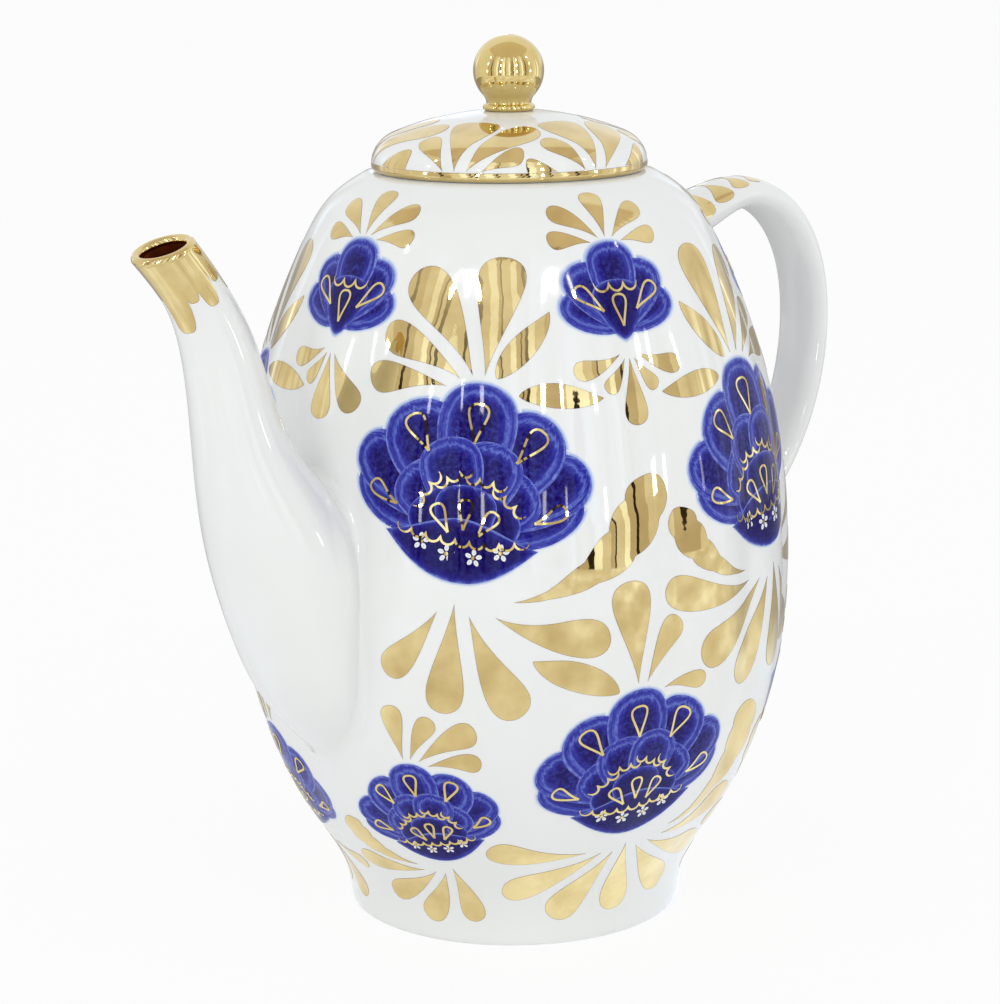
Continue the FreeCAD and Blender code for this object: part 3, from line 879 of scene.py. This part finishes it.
# Where a leaf's first and last rows lie along it: just short of its ends, where it would have no width.
LEAF_ENDS = (0.002, 0.9992)


def leaf_grid(start, heading, length, half_width, bend=0.0, shape=drop_shape, rows=20, columns=7, sway=0.0):
    """Flat points of a leaf, row by row along its spine; headings and bends are in degrees."""
    s = LEAF_ENDS[0] + (LEAF_ENDS[1] - LEAF_ENDS[0]) * eased(rows)
    heading, bend, sway = (math.radians(a) for a in (heading, bend, sway))
    middle, turned = spine(start, heading, length, bend, s, sway)
    left = np.stack([-np.sin(turned), np.cos(turned)], axis=-1) * (half_width * shape(s))[:, None]
    across = np.linspace(-1.0, 1.0, columns)
    return middle[:, None, :] + across[None, :, None] * left[:, None, :]


def edge_distance(grid):
    """Distance of each grid point from the grid's outline."""
    outline = np.concatenate([grid[:, 0], grid[-1, 1:], grid[::-1, -1][1:], grid[0, ::-1][1:]])
    start, step = outline[:-1], np.diff(outline, axis=0)
    points = grid.reshape(-1, 1, 2)
    share = np.sum((points - start) * step, axis=-1) / np.maximum(np.sum(step * step, axis=-1), 1e-9)
    near = start + np.clip(share, 0, 1)[..., None] * step
    return np.linalg.norm(points - near, axis=-1).min(axis=1).reshape(grid.shape[:2])


def stroke_grid(path, width, taper=True):
    """A ribbon along a path of flat points, thinner towards its ends."""
    path = np.asarray(path, float)
    heading = unit(np.gradient(path, axis=0))
    left = np.stack([-heading[:, 1], heading[:, 0]], axis=-1)
    place = np.linspace(0.0, 1.0, len(path))
    half = width / 2 * (np.clip(np.minimum(place, 1 - place) * 12, 0.35, 1.0) if taper else 1.0)
    half = np.broadcast_to(half, place.shape)[:, None]
    return np.stack([path - left * half, path + left * half], axis=1)


# Heights of the layers over the glaze, and the depth to which they reach into it.
HALO_TOP, HALO_STEP = 0.012, 0.002
COBALT_TOP, COBALT_STEP = 0.05, 0.009
GOLD_TOP, LINE_TOP = 0.07, 0.22
BELLY_BOTTOM, PATCH_BOTTOM = -1.5, -0.3
HALO_WIDTH = 0.9
LINE_WIDTH = 0.5
# Shift of the streaks in a wash from each petal to the next.
STROKE_SHIFT = 2.6
PETAL_ROWS = 30
LEAF_SIZES = (1.0, 0.92, 0.84, 0.76, 0.68, 0.6)
LEAF_COLUMNS = 9
BOTH_SIDES = (-1, 1)


class Covered:
    """Cells of space that paint covers, a cell more all round, so that new leaves can keep clear of it."""

    SPAN = 4096

    def __init__(self, low=-math.inf, high=math.inf, cell=0.45):
        self.low, self.high, self.cell = low, high, cell
        self.taken = set()
        step = np.arange(-1, 2)
        x, y, z = np.meshgrid(step, step, step)
        self.around = ((x * self.SPAN + y) * self.SPAN + z).ravel()

    def cells(self, points):
        x, y, z = (np.floor(points.reshape(-1, 3) / self.cell).astype(int) + self.SPAN // 2).T
        return (x * self.SPAN + y) * self.SPAN + z

    def add(self, points):
        self.taken.update((self.cells(points)[:, None] + self.around).ravel().tolist())

    def clear(self, points):
        """Whether these points are at a height to be painted, and nothing covers them yet."""
        if points[..., 2].min() < self.low or points[..., 2].max() > self.high:
            return False
        return self.taken.isdisjoint(self.cells(points).tolist())


class Pen:
    """Paints one motif: its own flat millimetres are turned, scaled and mirrored, then laid on a chart."""

    def __init__(self, chart, layers, covered, turn=0.0, scale=1.0, mirror=False, bottom=PATCH_BOTTOM):
        self.chart, self.layers, self.covered = chart, layers, covered
        self.scale, self.bottom = scale, bottom
        a = math.radians(turn)
        self.axes = np.array([[math.cos(a), math.sin(a)], [-math.sin(a), math.cos(a)]]) * scale
        if mirror:
            self.axes[0] = -self.axes[0]
        self.petals = 0

    def place(self, grid, lift=0.0):
        flat = grid @ self.axes
        return self.chart(flat[..., 0], flat[..., 1], lift)

    def lay(self, kind, grid, top, depth=1.0):
        edge = edge_distance(grid @ self.axes) * depth
        across = np.linspace(-1.0, 1.0, grid.shape[1]) + STROKE_SHIFT * self.petals
        stroke = np.broadcast_to(across, edge.shape)
        self.layers[kind].add(self.place(grid, top), self.place(grid, self.bottom), edge, stroke)

    def petal(
        self, kind, start, heading, length, half_width, bend=0.0, shape=petal_shape, depth=1.0, columns=17,
    ):
        """A petal in its halo; the wash in it is paler where its depth is under 1."""
        look = (bend, shape, PETAL_ROWS, columns)
        wide = (length + 2 * HALO_WIDTH, half_width + HALO_WIDTH)
        halo = leaf_grid(away(*start, heading, -HALO_WIDTH), heading, *wide, *look)
        self.lay("halo", halo, HALO_TOP + HALO_STEP * self.petals)
        self.covered.add(self.place(halo))
        petal = leaf_grid(start, heading, length, half_width, *look)
        self.lay(kind, petal, COBALT_TOP + COBALT_STEP * self.petals, depth)
        self.petals += 1

    def leaf(self, start, heading, length, half_width, bend=0.0, shape=drop_shape, rows=26, sway=0.0):
        """A gold leaf, smaller where there is less room for it, and left out where there is hardly any."""
        for size in LEAF_SIZES:
            wide = (length * size, half_width * size)
            grid = leaf_grid(start, heading, *wide, bend, shape, rows, LEAF_COLUMNS, sway)
            outer = self.place(grid[rows // 3:])
            if self.covered.clear(outer):
                self.covered.add(outer)
                self.lay("gold", grid, GOLD_TOP)
                return

    def spray(self, leaves, sides=BOTH_SIDES, rows=26):
        """Leaves laid on each side, given by start, lean from upright, length, half width and bend."""
        for side in sides:
            for (x, y), lean, length, half_width, bend in leaves:
                self.leaf((x * side, y), 90 - lean * side, length, half_width, -bend * side, rows=rows)

    def line(self, path, width=LINE_WIDTH, taper=True):
        self.lay("line", stroke_grid(path, width / self.scale, taper), LINE_TOP)

    def dot(self, x, y, radius):
        self.lay("line", leaf_grid((x - radius, y), 0, 2 * radius, radius, 0, disc_shape, 10, 5), LINE_TOP)

    def loop(self, start, heading, length, half_width, bend=0.0):
        """A drawn-out ring, like a drop in outline."""
        grid = leaf_grid(start, heading, length, half_width, bend, drop_shape, 22, 2)
        self.line(np.concatenate([grid[2:-1, 0], grid[-2:1:-1, 1]]), taper=False)

    def scallops(self, start, heading, length, count, bend=0.0, depth=0.55):
        """A row of small arches along a line."""
        part = eased(11)
        s = np.concatenate([(k + part[:-1]) / count for k in range(count)] + [[1.0]])
        middle, turned = spine(start, math.radians(heading), length, math.radians(bend), s)
        arch = disc_shape(s * count % 1) * depth * length / count
        left = np.stack([-np.sin(turned), np.cos(turned)], axis=-1)
        self.line(middle + left * arch[:, None])


# Motifs, in millimetres from their own middle and degrees from their own right


def star(pen, x, y, size=1.25):
    """A little five-leaved star left pale in the blue, with a gold dot."""
    for k in range(5):
        turn = 90 + 72 * k
        grid = leaf_grid(away(x, y, turn, 0.5), turn, size, 0.45, 0, disc_shape, 8, 5)
        pen.lay("halo", grid, COBALT_TOP + COBALT_STEP * pen.petals)
    pen.dot(x, y, 0.42)


def blossom(pen):
    """A full blossom seen from the side: three fans of petals in a dark cup, drawn over in gold."""
    for side in BOTH_SIDES:
        pen.petal("cobalt", (4 * side, -8), 90 - 84 * side, 21, 5.2, 46 * side)
        pen.petal("cobalt", (4 * side, -6), 90 - 60 * side, 23, 6.6, 10 * side, depth=0.9)
    for turn, length in ((-34, 26), (34, 26), (0, 27.5)):
        pen.petal("cobalt", (0, -6), 90 + turn, length, 8.4, depth=0.82)
        pen.loop(away(0, -6, 90 + turn, 15.5), 90 + turn, 8.0, 2.0)
    across = 8.4
    for turn, length in ((-48, 17), (48, 17), (-17, 19), (17, 19)):
        pen.petal("cobalt", (0, -8), 90 + turn, length, 6.8)
        start = away(*away(0, -8, 90 + turn, 12.2), turn, across / 2)
        pen.scallops(start, 180 + turn, across, 3, 24)
    for turn in (-32, 32, 0):
        pen.petal("navy", (0, -13), 90 + turn, 14.5, 6.6)
        pen.loop(away(0, -13, 90 + turn, 5.5), 90 + turn, 6.2, 1.35)
    pen.petal("navy", (-15.5, -9.6), -14, 31, 6.4, 28, shape=lens_shape, columns=19)
    pen.scallops((-13, -7.6), -14, 26.5, 9, 28, -0.5)
    for x, y in ((-8, -10.6), (-2.8, -12.4), (2.8, -12.4), (8, -10.6)):
        star(pen, x, y)
    for side in BOTH_SIDES:
        heading = 90 - 74 * side
        pen.loop(away(4 * side, -7, heading, 10), heading, 7.0, 1.5, 24 * side)


# Leaves over a blossom and under it, as Pen.spray takes them.
BLOSSOM_FAN = (
    ((2.4, 22.8), 28, 24, 4.7, 20), ((4.8, 21.8), 55, 22, 4.2, 28), ((7.2, 20.0), 80, 17, 3.2, 30),
)
BLOSSOM_SPRAY = (
    ((10.0, -22.6), 94, 26, 3.6, -34), ((8.4, -23.4), 112, 24, 4.0, -34),
    ((6.2, -23.4), 130, 24, 4.2, -30), ((3.2, -24.0), 155, 23, 4.2, -16),
)


def blossom_leaves(pen):
    """Gold about a blossom: drops and flames over it, lobed plumes at its sides, a spray under it."""
    pen.leaf((0, 23), 90, 24, 4.8)
    for drop in BLOSSOM_FAN:
        pen.spray([drop], sides=(-1,))
        start, lean, length, half_width, bend = drop
        pen.leaf(start, 94 - lean, length, half_width - 0.8, -bend - 14, flame_shape, 32, 46)
    for side in BOTH_SIDES:
        pen.leaf((11.5 * side, -20.0), 90 - 80 * side, 40, 5.6, 72 * side, plume_shape, 70)
        pen.spray(BLOSSOM_SPRAY, sides=(side,))
    pen.leaf((0, -22), -90, 23, 3.8)


def bud(pen):
    """A half-open bud: five petals about a dark heart, drawn over in gold."""
    for side in BOTH_SIDES:
        pen.petal("cobalt", (0, -4), 90 - 72 * side, 12, 4.0, 30 * side)
        pen.petal("cobalt", (0, -4), 90 - 38 * side, 14, 4.8, 16 * side, depth=0.9)
    pen.petal("cobalt", (0, -4), 90, 16, 5.2)
    pen.petal("navy", (0, -6), 90, 11, 5.4)
    pen.scallops((4.4, 4.4), 180, 8.8, 3)
    pen.loop((0, -3.8), 90, 6.0, 1.3)
    for side in BOTH_SIDES:
        heading = 90 - 46 * side
        pen.loop(away(0, -4, heading, 4.5), heading, 6.5, 1.3)


# Leaves under a bud and over it, as Pen.spray takes them.
BUD_SPRAY = (
    ((2.0, -7.4), 92, 17, 2.9, -40), ((1.8, -8.6), 122, 14, 2.7, -30), ((1.0, -9.4), 152, 12, 2.4, -16),
)
BUD_FAN = (((1.4, 12.8), 40, 10, 2.1, 24), ((3.0, 12.0), 74, 8, 1.8, 24))
BUD_LEAF_ROWS = 22


def bud_leaves(pen):
    """Gold about a bud: a spray of drops under it and a few over it."""
    pen.spray(BUD_SPRAY, rows=BUD_LEAF_ROWS)
    pen.leaf((0, -9.4), -90, 12, 2.4, rows=BUD_LEAF_ROWS)
    pen.leaf((0, 13), 90, 11, 2.3, rows=BUD_LEAF_ROWS)
    pen.spray(BUD_FAN, rows=BUD_LEAF_ROWS)


# The painted part of the belly, and the height and scale of the motifs on it.
PAINTED = (2.5, RIM_HEIGHT - 1.5)
LARGE_BLOSSOM = (109, 1.08)
SMALL_BLOSSOM = (45, 0.96)
TOE_BLOSSOM = (34, 0.72)
BUD = (146, 1.2)
BLOSSOMS = 5
FIRST_BLOSSOM = 216
SPOUT_ANGLE = 180
# Turn from the spout to the small blossoms beside its toe.
TOE_TURN = 24


def root_cover(surface, start, end, fillet):
    """Points all over the patch of the belly where a branch and its fillet sit."""
    edge = root_rows(surface, full_turn(360), start, end, fillet, 2)[-1]
    middle = edge.mean(axis=0)
    shares = np.linspace(0.0, 1.0, 90)[:, None, None]
    return on_belly(middle + (edge - middle) * shares, 0.0)


def paint_pot(upper, lower):
    """Large blossoms round the belly; buds over the gaps between them, small blossoms under the gaps."""
    covered = Covered(*PAINTED)
    covered.add(root_cover(spout_outside, SPOUT.length * 0.9, SPOUT_TOE, SPOUT_FILLET))
    for end in (0.0, HANDLE.length):
        covered.add(root_cover(handle_surface, HANDLE_MIDDLE, end, HANDLE_FILLET))

    def pen(layers, angle, motif, turn=0.0, mirror=False):
        height, scale = motif
        return Pen(belly_chart(angle, height), layers, covered, turn, scale, mirror, BELLY_BOTTOM)

    large, small, buds = [], [], []
    for k in range(BLOSSOMS):
        angle, other = FIRST_BLOSSOM + 360 / BLOSSOMS * k, k % 2 == 1
        gap = angle + 180 / BLOSSOMS
        large.append(pen(upper, angle, LARGE_BLOSSOM, 7 if other else -7, other))
        if gap % 360 != SPOUT_ANGLE:
            small.append(pen(lower, gap, SMALL_BLOSSOM, -6 if other else 6, not other))
        buds.append(pen(upper, gap, BUD))
    for side in (1, -1):
        small.append(pen(lower, SPOUT_ANGLE + TOE_TURN * side, TOE_BLOSSOM, 10 * side, side > 0))
    blossoms = large + small
    for draw, motifs in ((blossom, blossoms), (bud, buds), (blossom_leaves, blossoms), (bud_leaves, buds)):
        for motif in motifs:
            draw(motif)


LID_FANS = 6
FIRST_FAN = 22
LID_FAN = (((2.8, 0.2), 31, 18.5, 5.0, 13), ((6.2, 0.2), 55, 16, 4.0, 16), ((9.6, 0.2), 73, 10, 3.0, 16))


def paint_lid(layers):
    """Fans of leaves that stand on the gold band."""
    covered = Covered(cell=0.3)
    for k in range(LID_FANS):
        pen = Pen(lid_chart(360 / LID_FANS * k + FIRST_FAN, LID_BAND[1]), layers, covered)
        pen.leaf((0, 0.2), 90, 19, 5.4)
        pen.spray(LID_FAN)


def handle_chart(at):
    """Flat drawing to the top of the handle: u across it and v along it from the shoulder."""

    def base(turn, place):
        return handle_surface(turn, np.clip(place, 0.0, HANDLE.length))

    def chart(u, v, lift):
        return lifted(base, math.pi + u / HANDLE_GRIP[1], at + v, lift, 0.02, 0.2)

    return chart


HANDLE_LEAVES = (12.0, 10.0, 8.0, 6.0, 4.5)
FIRST_HANDLE_LEAF = 22.0


def paint_handle(layers):
    """Pairs of drops that hang from the ridge of the handle, smaller away from the shoulder."""
    covered = Covered()
    place = FIRST_HANDLE_LEAF
    for size in HANDLE_LEAVES:
        pen = Pen(handle_chart(place), layers, covered)
        pen.spray([((-0.6, -size * 0.1), 78, size, size * 0.34, 20)], rows=16)
        place += size * 0.72


# Gilding


def closed_shell(name, courses, material, edge=None, sharp=True):
    """A thin closed ring, with sharp or soft hems: courses(lift) gives its rows at a lift from the glaze."""
    upper = courses(GOLD_TOP)
    rows = upper + courses(PATCH_BOTTOM)[::-1]
    around = len(upper[0])
    faces = grid_faces(len(rows), around, wrap_rows=True, wrap_columns=True)
    walls = (len(upper) - 1, len(rows) - 1)
    smooth = [row not in walls for row in range(len(rows)) for _ in range(around)] if sharp else None
    values = {"edge": np.concatenate(edge + edge[::-1])} if edge else None
    return make_object(name, np.concatenate(rows), faces, material, values, smooth)


LIP_AROUND = 360
LIP_TURNS = full_turn(LIP_AROUND)
LIP_GILDED = 2.6
# Drips below the gilded lip: turn round the spout and half width in degrees, and length.
DRIPS = (
    (146, 17, 4.0), (169, 15, 7.0), (197, 28, 15.0), (234, 16, 8.5), (264, 18, 11.0), (298, 17, 7.0),
    (331, 20, 11.0), (8, 18, 6.0), (44, 22, 12.0), (85, 19, 7.0), (118, 18, 10.0),
)
BORE_DEPTHS = (0.3, 2.0, 4.0, 7.0, 10.0, 14.0, 18.0)


def lip_ring(down, inset):
    return oval_point(SPOUT(LIP_TOP - down), LIP_TURNS, inset)


def drip_depth():
    """How far the gold reaches down the spout's outside at each turn."""
    depth = np.full(LIP_AROUND, LIP_GILDED)
    for turn, half_width, length in DRIPS:
        off = np.abs((np.degrees(LIP_TURNS) - turn + 180) % 360 - 180) / half_width
        depth = np.maximum(depth, LIP_GILDED + length * np.sqrt(np.maximum(1 - off ** 4, 0)))
    return depth


def gild_lip():
    """Gold over the spout's rolled rim and down its outside, ending in drips of uneven length."""
    depth = drip_depth()
    downs = [depth * share for share in np.linspace(1.0, 0.0, 25)[:-1]]
    round_lip = LIP_TURNS * SPOUT_SECTIONS[-1][3]

    def courses(lift):
        rows = [lip_ring(down, GLAZE_INSET - lift) for down in downs]
        outer, inner = lip_ring(0.0, GLAZE_INSET - lift), lip_ring(0.0, LIP_WALL + lift)
        rows += rolled_lip(outer, inner, LIP_WALL / 2 + lift)
        return rows + [lip_ring(0.5, LIP_WALL + lift)]

    hem = np.stack([round_lip, depth], axis=-1)
    edge = []
    for down in downs:
        off = np.stack([round_lip, down], axis=-1)[:, None] - hem[None, :]
        edge.append(np.linalg.norm(off, axis=-1).min(axis=1))
    edge += [np.full(LIP_AROUND, LIP_GILDED)] * (len(LIP_ROLL) + 1)
    return closed_shell("gilded_lip", courses, GOLD, edge)


def gild_bore():
    """Brown lustre inside the spout, below the rim."""

    def courses(lift):
        return [lip_ring(down, SPOUT(LIP_TOP - down)[5] + lift / 2) for down in BORE_DEPTHS]

    return closed_shell("lustred_bore", courses, LUSTRE)


def gild_lid_edge():
    """The gold band round the lid's edge, a thin shell over its roll, brown at its hems; the brown at the
    lower hem is a painted shadow of the gap under the lid.
    """
    places = np.linspace(*LID_BAND, 16)
    angles = full_turn(192)

    def courses(lift):
        return [lifted(lid_base, angles, place + 0 * angles, lift, 0.004, 0.05) for place in places]

    # Distance from the band's hems, which browns them in the gold; at the lower hem this is a painted
    # shadow.
    edge = [np.full_like(angles, min(place - places[0], places[-1] - place)) for place in places]
    return closed_shell("gilded_lid_edge", courses, GOLD, edge, sharp=False)


# Assembly

for maker, node, body, slot in (
    (make_pot, "pot_body", "pot", "glazed_porcelain"),
    (make_spout, "spout", "pot", "glazed_porcelain"),
    (make_handle, "handle", "pot", "glazed_porcelain"),
    (make_lid, "lid", "lid", "glazed_porcelain"),
    (make_knob, "lid_knob", "lid", "gilded_porcelain"),
):
    piece = maker()
    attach(piece, body)
    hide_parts(node)


def new_layers(prefix):
    return {
        "gold": Layer(f"{prefix}_gold_leaves", GOLD),
        "line": Layer(f"{prefix}_gold_lines", GILDING),
        "halo": Layer(f"{prefix}_cobalt_halos", HALO),
        "cobalt": Layer(f"{prefix}_cobalt_washes", COBALT),
        "navy": Layer(f"{prefix}_cobalt_shades", NAVY),
    }


def finish_layers(layers, body):
    for kind, layer in layers.items():
        if layer.count:
            piece = layer.build()
            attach(piece, body)


upper_paint, lower_paint, handle_paint, lid_paint = (
    new_layers(prefix) for prefix in ("upper", "lower", "handle", "lid")
)
paint_pot(upper_paint, lower_paint)
paint_handle(handle_paint)
paint_lid(lid_paint)
for layers, body in ((upper_paint, "pot"), (lower_paint, "pot"), (handle_paint, "pot"), (lid_paint, "lid")):
    finish_layers(layers, body)
for maker, body in ((gild_lip, "pot"), (gild_bore, "pot"), (gild_lid_edge, "lid")):
    piece = maker()
    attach(piece, body)


# Stage, light and camera

CAMERA_PLACE = (-465.9, -462.0, 239.04)
CAMERA_PITCH = 12.484
CAMERA_YAW = -45.0
CAMERA_ROLL = -0.5
FOCAL_PIXELS = 2914.29
FRAME_PIXELS = 1004
SENSOR = 36.0


def make_camera():
    data = bpy.data.cameras.new("camera")
    data.sensor_width = SENSOR
    data.lens = FOCAL_PIXELS * SENSOR / FRAME_PIXELS
    data.clip_start, data.clip_end = 0.05, 50.0
    camera = bpy.data.objects.new("camera", data)
    camera.location = Vector(CAMERA_PLACE) * MM
    aim = Euler([math.radians(a) for a in (90.0 - CAMERA_PITCH, 0.0, CAMERA_YAW)]).to_matrix()
    camera.rotation_euler = (aim @ Matrix.Rotation(math.radians(CAMERA_ROLL), 3, "Z")).to_euler()
    bpy.context.scene.collection.objects.link(camera)
    bpy.context.scene.camera = camera


WHITE = (1.0, 1.0, 1.0, 1.0)
FLOOR_COLOUR = (0.92, 0.92, 0.92, 1.0)
FLOOR_ROUGHNESS = 0.9
# Share of plain white in the floor that the camera sees; the rest shows the shadow.
FLOOR_WHITENESS = 0.9
TABLE_RADIUS = 0.8
FLOOR_RADIUS = 14.0
FLOOR_SIDES = 96
WORLD_LIGHT = 0.74

# Tones that shiny faces mirror.
MIRROR = {
    "shade": (0.74, 0.70, 0.64), "plain": (1.0, 1.03, 1.07), "glare": (1.45, 1.65, 1.95),
    "dark": (0.04, 0.03, 0.02), "back": (0.45, 0.45, 0.46), "ledge": (0.25, 0.20, 0.14),
    "haze": (0.97, 0.96, 0.96), "ceiling": (0.80, 0.74, 0.66), "table": (0.86, 0.85, 0.80),
    "tent": (0.78, 0.75, 0.69),
}
# Bands of the room in front of the pot, from one side to the other; 0.5 is where the camera is.
ROOM_BANDS = [
    (0.0, "plain"), (0.30, "shade"), (0.335, "dark"), (0.341, "shade"), (0.36, "plain"), (0.385, "glare"),
    (0.40, "shade"), (0.408, "dark"), (0.414, "plain"), (0.421, "dark"), (0.427, "plain"), (0.445, "glare"),
    (0.462, "shade"), (0.47, "dark"), (0.476, "plain"), (0.50, "glare"), (0.512, "shade"), (0.524, "dark"),
    (0.53, "shade"), (0.537, "dark"), (0.543, "glare"), (0.56, "plain"), (0.58, "shade"), (0.59, "dark"),
    (0.596, "plain"), (0.62, "glare"), (0.635, "shade"), (0.655, "dark"), (0.661, "shade"), (0.69, "plain"),
]
MIRRORED_TABLE = [(0.30, "table"), (0.52, "plain"), (0.80, "glare")]
MIRRORED_TENT = [(0.38, "tent"), (0.47, "plain"), (0.54, "plain"), (0.62, "glare")]
# Heights of the ledge under the ceiling: where it starts, is full, starts to fade and ends.
LEDGE = (0.705, 0.71, 0.715, 0.72)
NONE, ALL = (0.0, 0.0, 0.0), (1.0, 1.0, 1.0)


def mirror_ramp(tree, value, stops, sharp=False):
    return ramp(tree, value, [(place, MIRROR[tone]) for place, tone in stops], sharp)


def mixed(tree, ray, first, second):
    """The first shader, or the second one for rays of a kind."""
    return add_node(tree, "MixShader", ray, first.outputs[0], second.outputs[0])


def floor_material():
    material, tree, shader = new_material("pale floor")
    looks = {"Base Color": FLOOR_COLOUR, "Roughness": FLOOR_ROUGHNESS, "Specular IOR Level": 0.0}
    fill(tree, shader, **looks)
    path = add_node(tree, "LightPath").outputs
    white = add_node(tree, "Emission", Color=WHITE, Strength=1.0)
    seen = mixed(tree, combine(tree, "MULTIPLY", path["Is Camera Ray"], FLOOR_WHITENESS), shader, white)
    place = add_node(tree, "NewGeometry").outputs["Position"]
    toward = Vector((*CAMERA_PLACE[:2], 0.0)).normalized()
    depth = add_node(tree, "VectorMath", place, toward, operation="DOT_PRODUCT").outputs["Value"]
    near = mirror_ramp(tree, noise(tree, 7.0, 2.0), MIRRORED_TABLE)
    table = blend(tree, remap(tree, depth, -0.04, -0.22), near, MIRROR["back"])
    mirrored = add_node(tree, "Emission", Color=table, Strength=1.0)
    both = mixed(tree, path["Is Glossy Ray"], seen, mirrored)
    fill(tree, tree.nodes["Material Output"], Surface=both.outputs[0])
    return material


def make_floor():
    """A pale floor that is white to the camera but for the shadow; shiny faces see only the part nearby."""
    material = floor_material()
    rings = [[(*away(0, 0, turn, r), 0.0) for turn in np.degrees(full_turn(FLOOR_SIDES))]
             for r in (TABLE_RADIUS, FLOOR_RADIUS)]
    table = (rings[0], [tuple(range(FLOOR_SIDES))])
    far = (rings[0] + rings[1], grid_faces(2, FLOOR_SIDES, wrap_columns=True))
    for name, (points, faces), mirrored in (("floor", table, True), ("floor_far", far, False)):
        mesh = bpy.data.meshes.new(name)
        mesh.from_pydata(points, [], faces)
        mesh.materials.append(material)
        floor = bpy.data.objects.new(name, mesh)
        floor.visible_glossy = mirrored
        bpy.context.scene.collection.objects.link(floor)


def mirrored_room(tree):
    """What shiny faces see: bands about the camera, a pale tent behind, a ledge and a warm ceiling."""
    around = -math.atan2(CAMERA_PLACE[1], CAMERA_PLACE[0])
    place = add_node(tree, "TexCoord").outputs["Generated"]
    facing = add_node(tree, "Mapping", Vector=place, Rotation=(0.0, 0.0, around)).outputs["Vector"]
    x, y, z = add_node(tree, "SeparateXYZ", facing).outputs
    azimuth = combine(tree, "ARCTAN2", y, x)
    wavering = spread(tree, streaks(tree, z, 9.0), -0.012, 0.012)
    turn = combine(tree, "ADD", remap(tree, azimuth, -math.pi, math.pi), wavering)
    bands = mirror_ramp(tree, turn, ROOM_BANDS, sharp=True)
    ragged = spread(tree, streaks(tree, azimuth, 16.0), -0.04, 0.04)
    height = combine(tree, "ADD", z, ragged)
    ledge = ramp(tree, height, list(zip(LEDGE, (NONE, ALL, ALL, NONE))))
    hazy = blend(tree, remap(tree, z, 0.35, 0.60, 0.0, 0.5), bands, MIRROR["haze"])
    surround = blend(tree, ledge, hazy, MIRROR["ledge"])
    tent = mirror_ramp(tree, streaks(tree, azimuth, 4.0), MIRRORED_TENT)
    tent = blend(tree, remap(tree, z, 0.15, 0.4), tent, MIRROR["plain"])
    behind = combine(tree, "MULTIPLY", remap(tree, x, -0.55, -0.85), remap(tree, z, 0.12, -0.02))
    tent = blend(tree, behind, tent, MIRROR["back"])
    walls = blend(tree, remap(tree, x, 0.1, 0.3), tent, surround)
    ceiling = blend(tree, remap(tree, x, -0.32, -0.26), MIRROR["plain"], MIRROR["ceiling"])
    return blend(tree, remap(tree, height, *LEDGE[1:3]), walls, ceiling)


def make_world():
    """Even light, white to the camera; shiny faces mirror a room instead."""
    world = bpy.data.worlds.new("studio")
    bpy.context.scene.world = world
    world.use_nodes = True
    tree = world.node_tree
    light = fill(tree, tree.nodes["Background"], Color=WHITE, Strength=WORLD_LIGHT)
    mirrored = add_node(tree, "Background", Color=mirrored_room(tree), Strength=1.0)
    shown = add_node(tree, "Background", Color=WHITE, Strength=1.0)
    path = add_node(tree, "LightPath").outputs
    unseen = mixed(tree, path["Is Glossy Ray"], light, mirrored)
    both = mixed(tree, path["Is Camera Ray"], unseen, shown)
    fill(tree, tree.nodes["World Output"], Surface=both.outputs[0])


def make_lamp(name, place, aim, size, watts):
    data = bpy.data.lights.new(name, "AREA")
    data.shape = "RECTANGLE"
    data.size, data.size_y = size
    data.energy = watts
    lamp = bpy.data.objects.new(name, data)
    lamp.location = place
    lamp.rotation_euler = (Vector(aim) - Vector(place)).to_track_quat("-Z", "Y").to_euler()
    bpy.context.scene.collection.objects.link(lamp)


LAMP_DISTANCE = 1.5
LAMP_AIM = (0, 0, 0.12)
# Rows of lamps: height, power and size; and the lamps in a row: turn and share of that power.
LAMP_ROWS = ((1.27, 1.15, (0.04, 0.09)), (0.68, 1.0, (0.06, 0.13)), (0.17, 0.8, (0.06, 0.13)))
LAMP_TURNS = ((152, 0.5), (199, 1.1), (252, 0.9), (300, 0.5))

make_camera()
make_floor()
make_world()
for height, watts, size in LAMP_ROWS:
    for turn, share in LAMP_TURNS:
        make_lamp("lamp", (*away(0, 0, turn, LAMP_DISTANCE), height), LAMP_AIM, size, watts * share)
bpy.context.scene.view_settings.view_transform = "Standard"
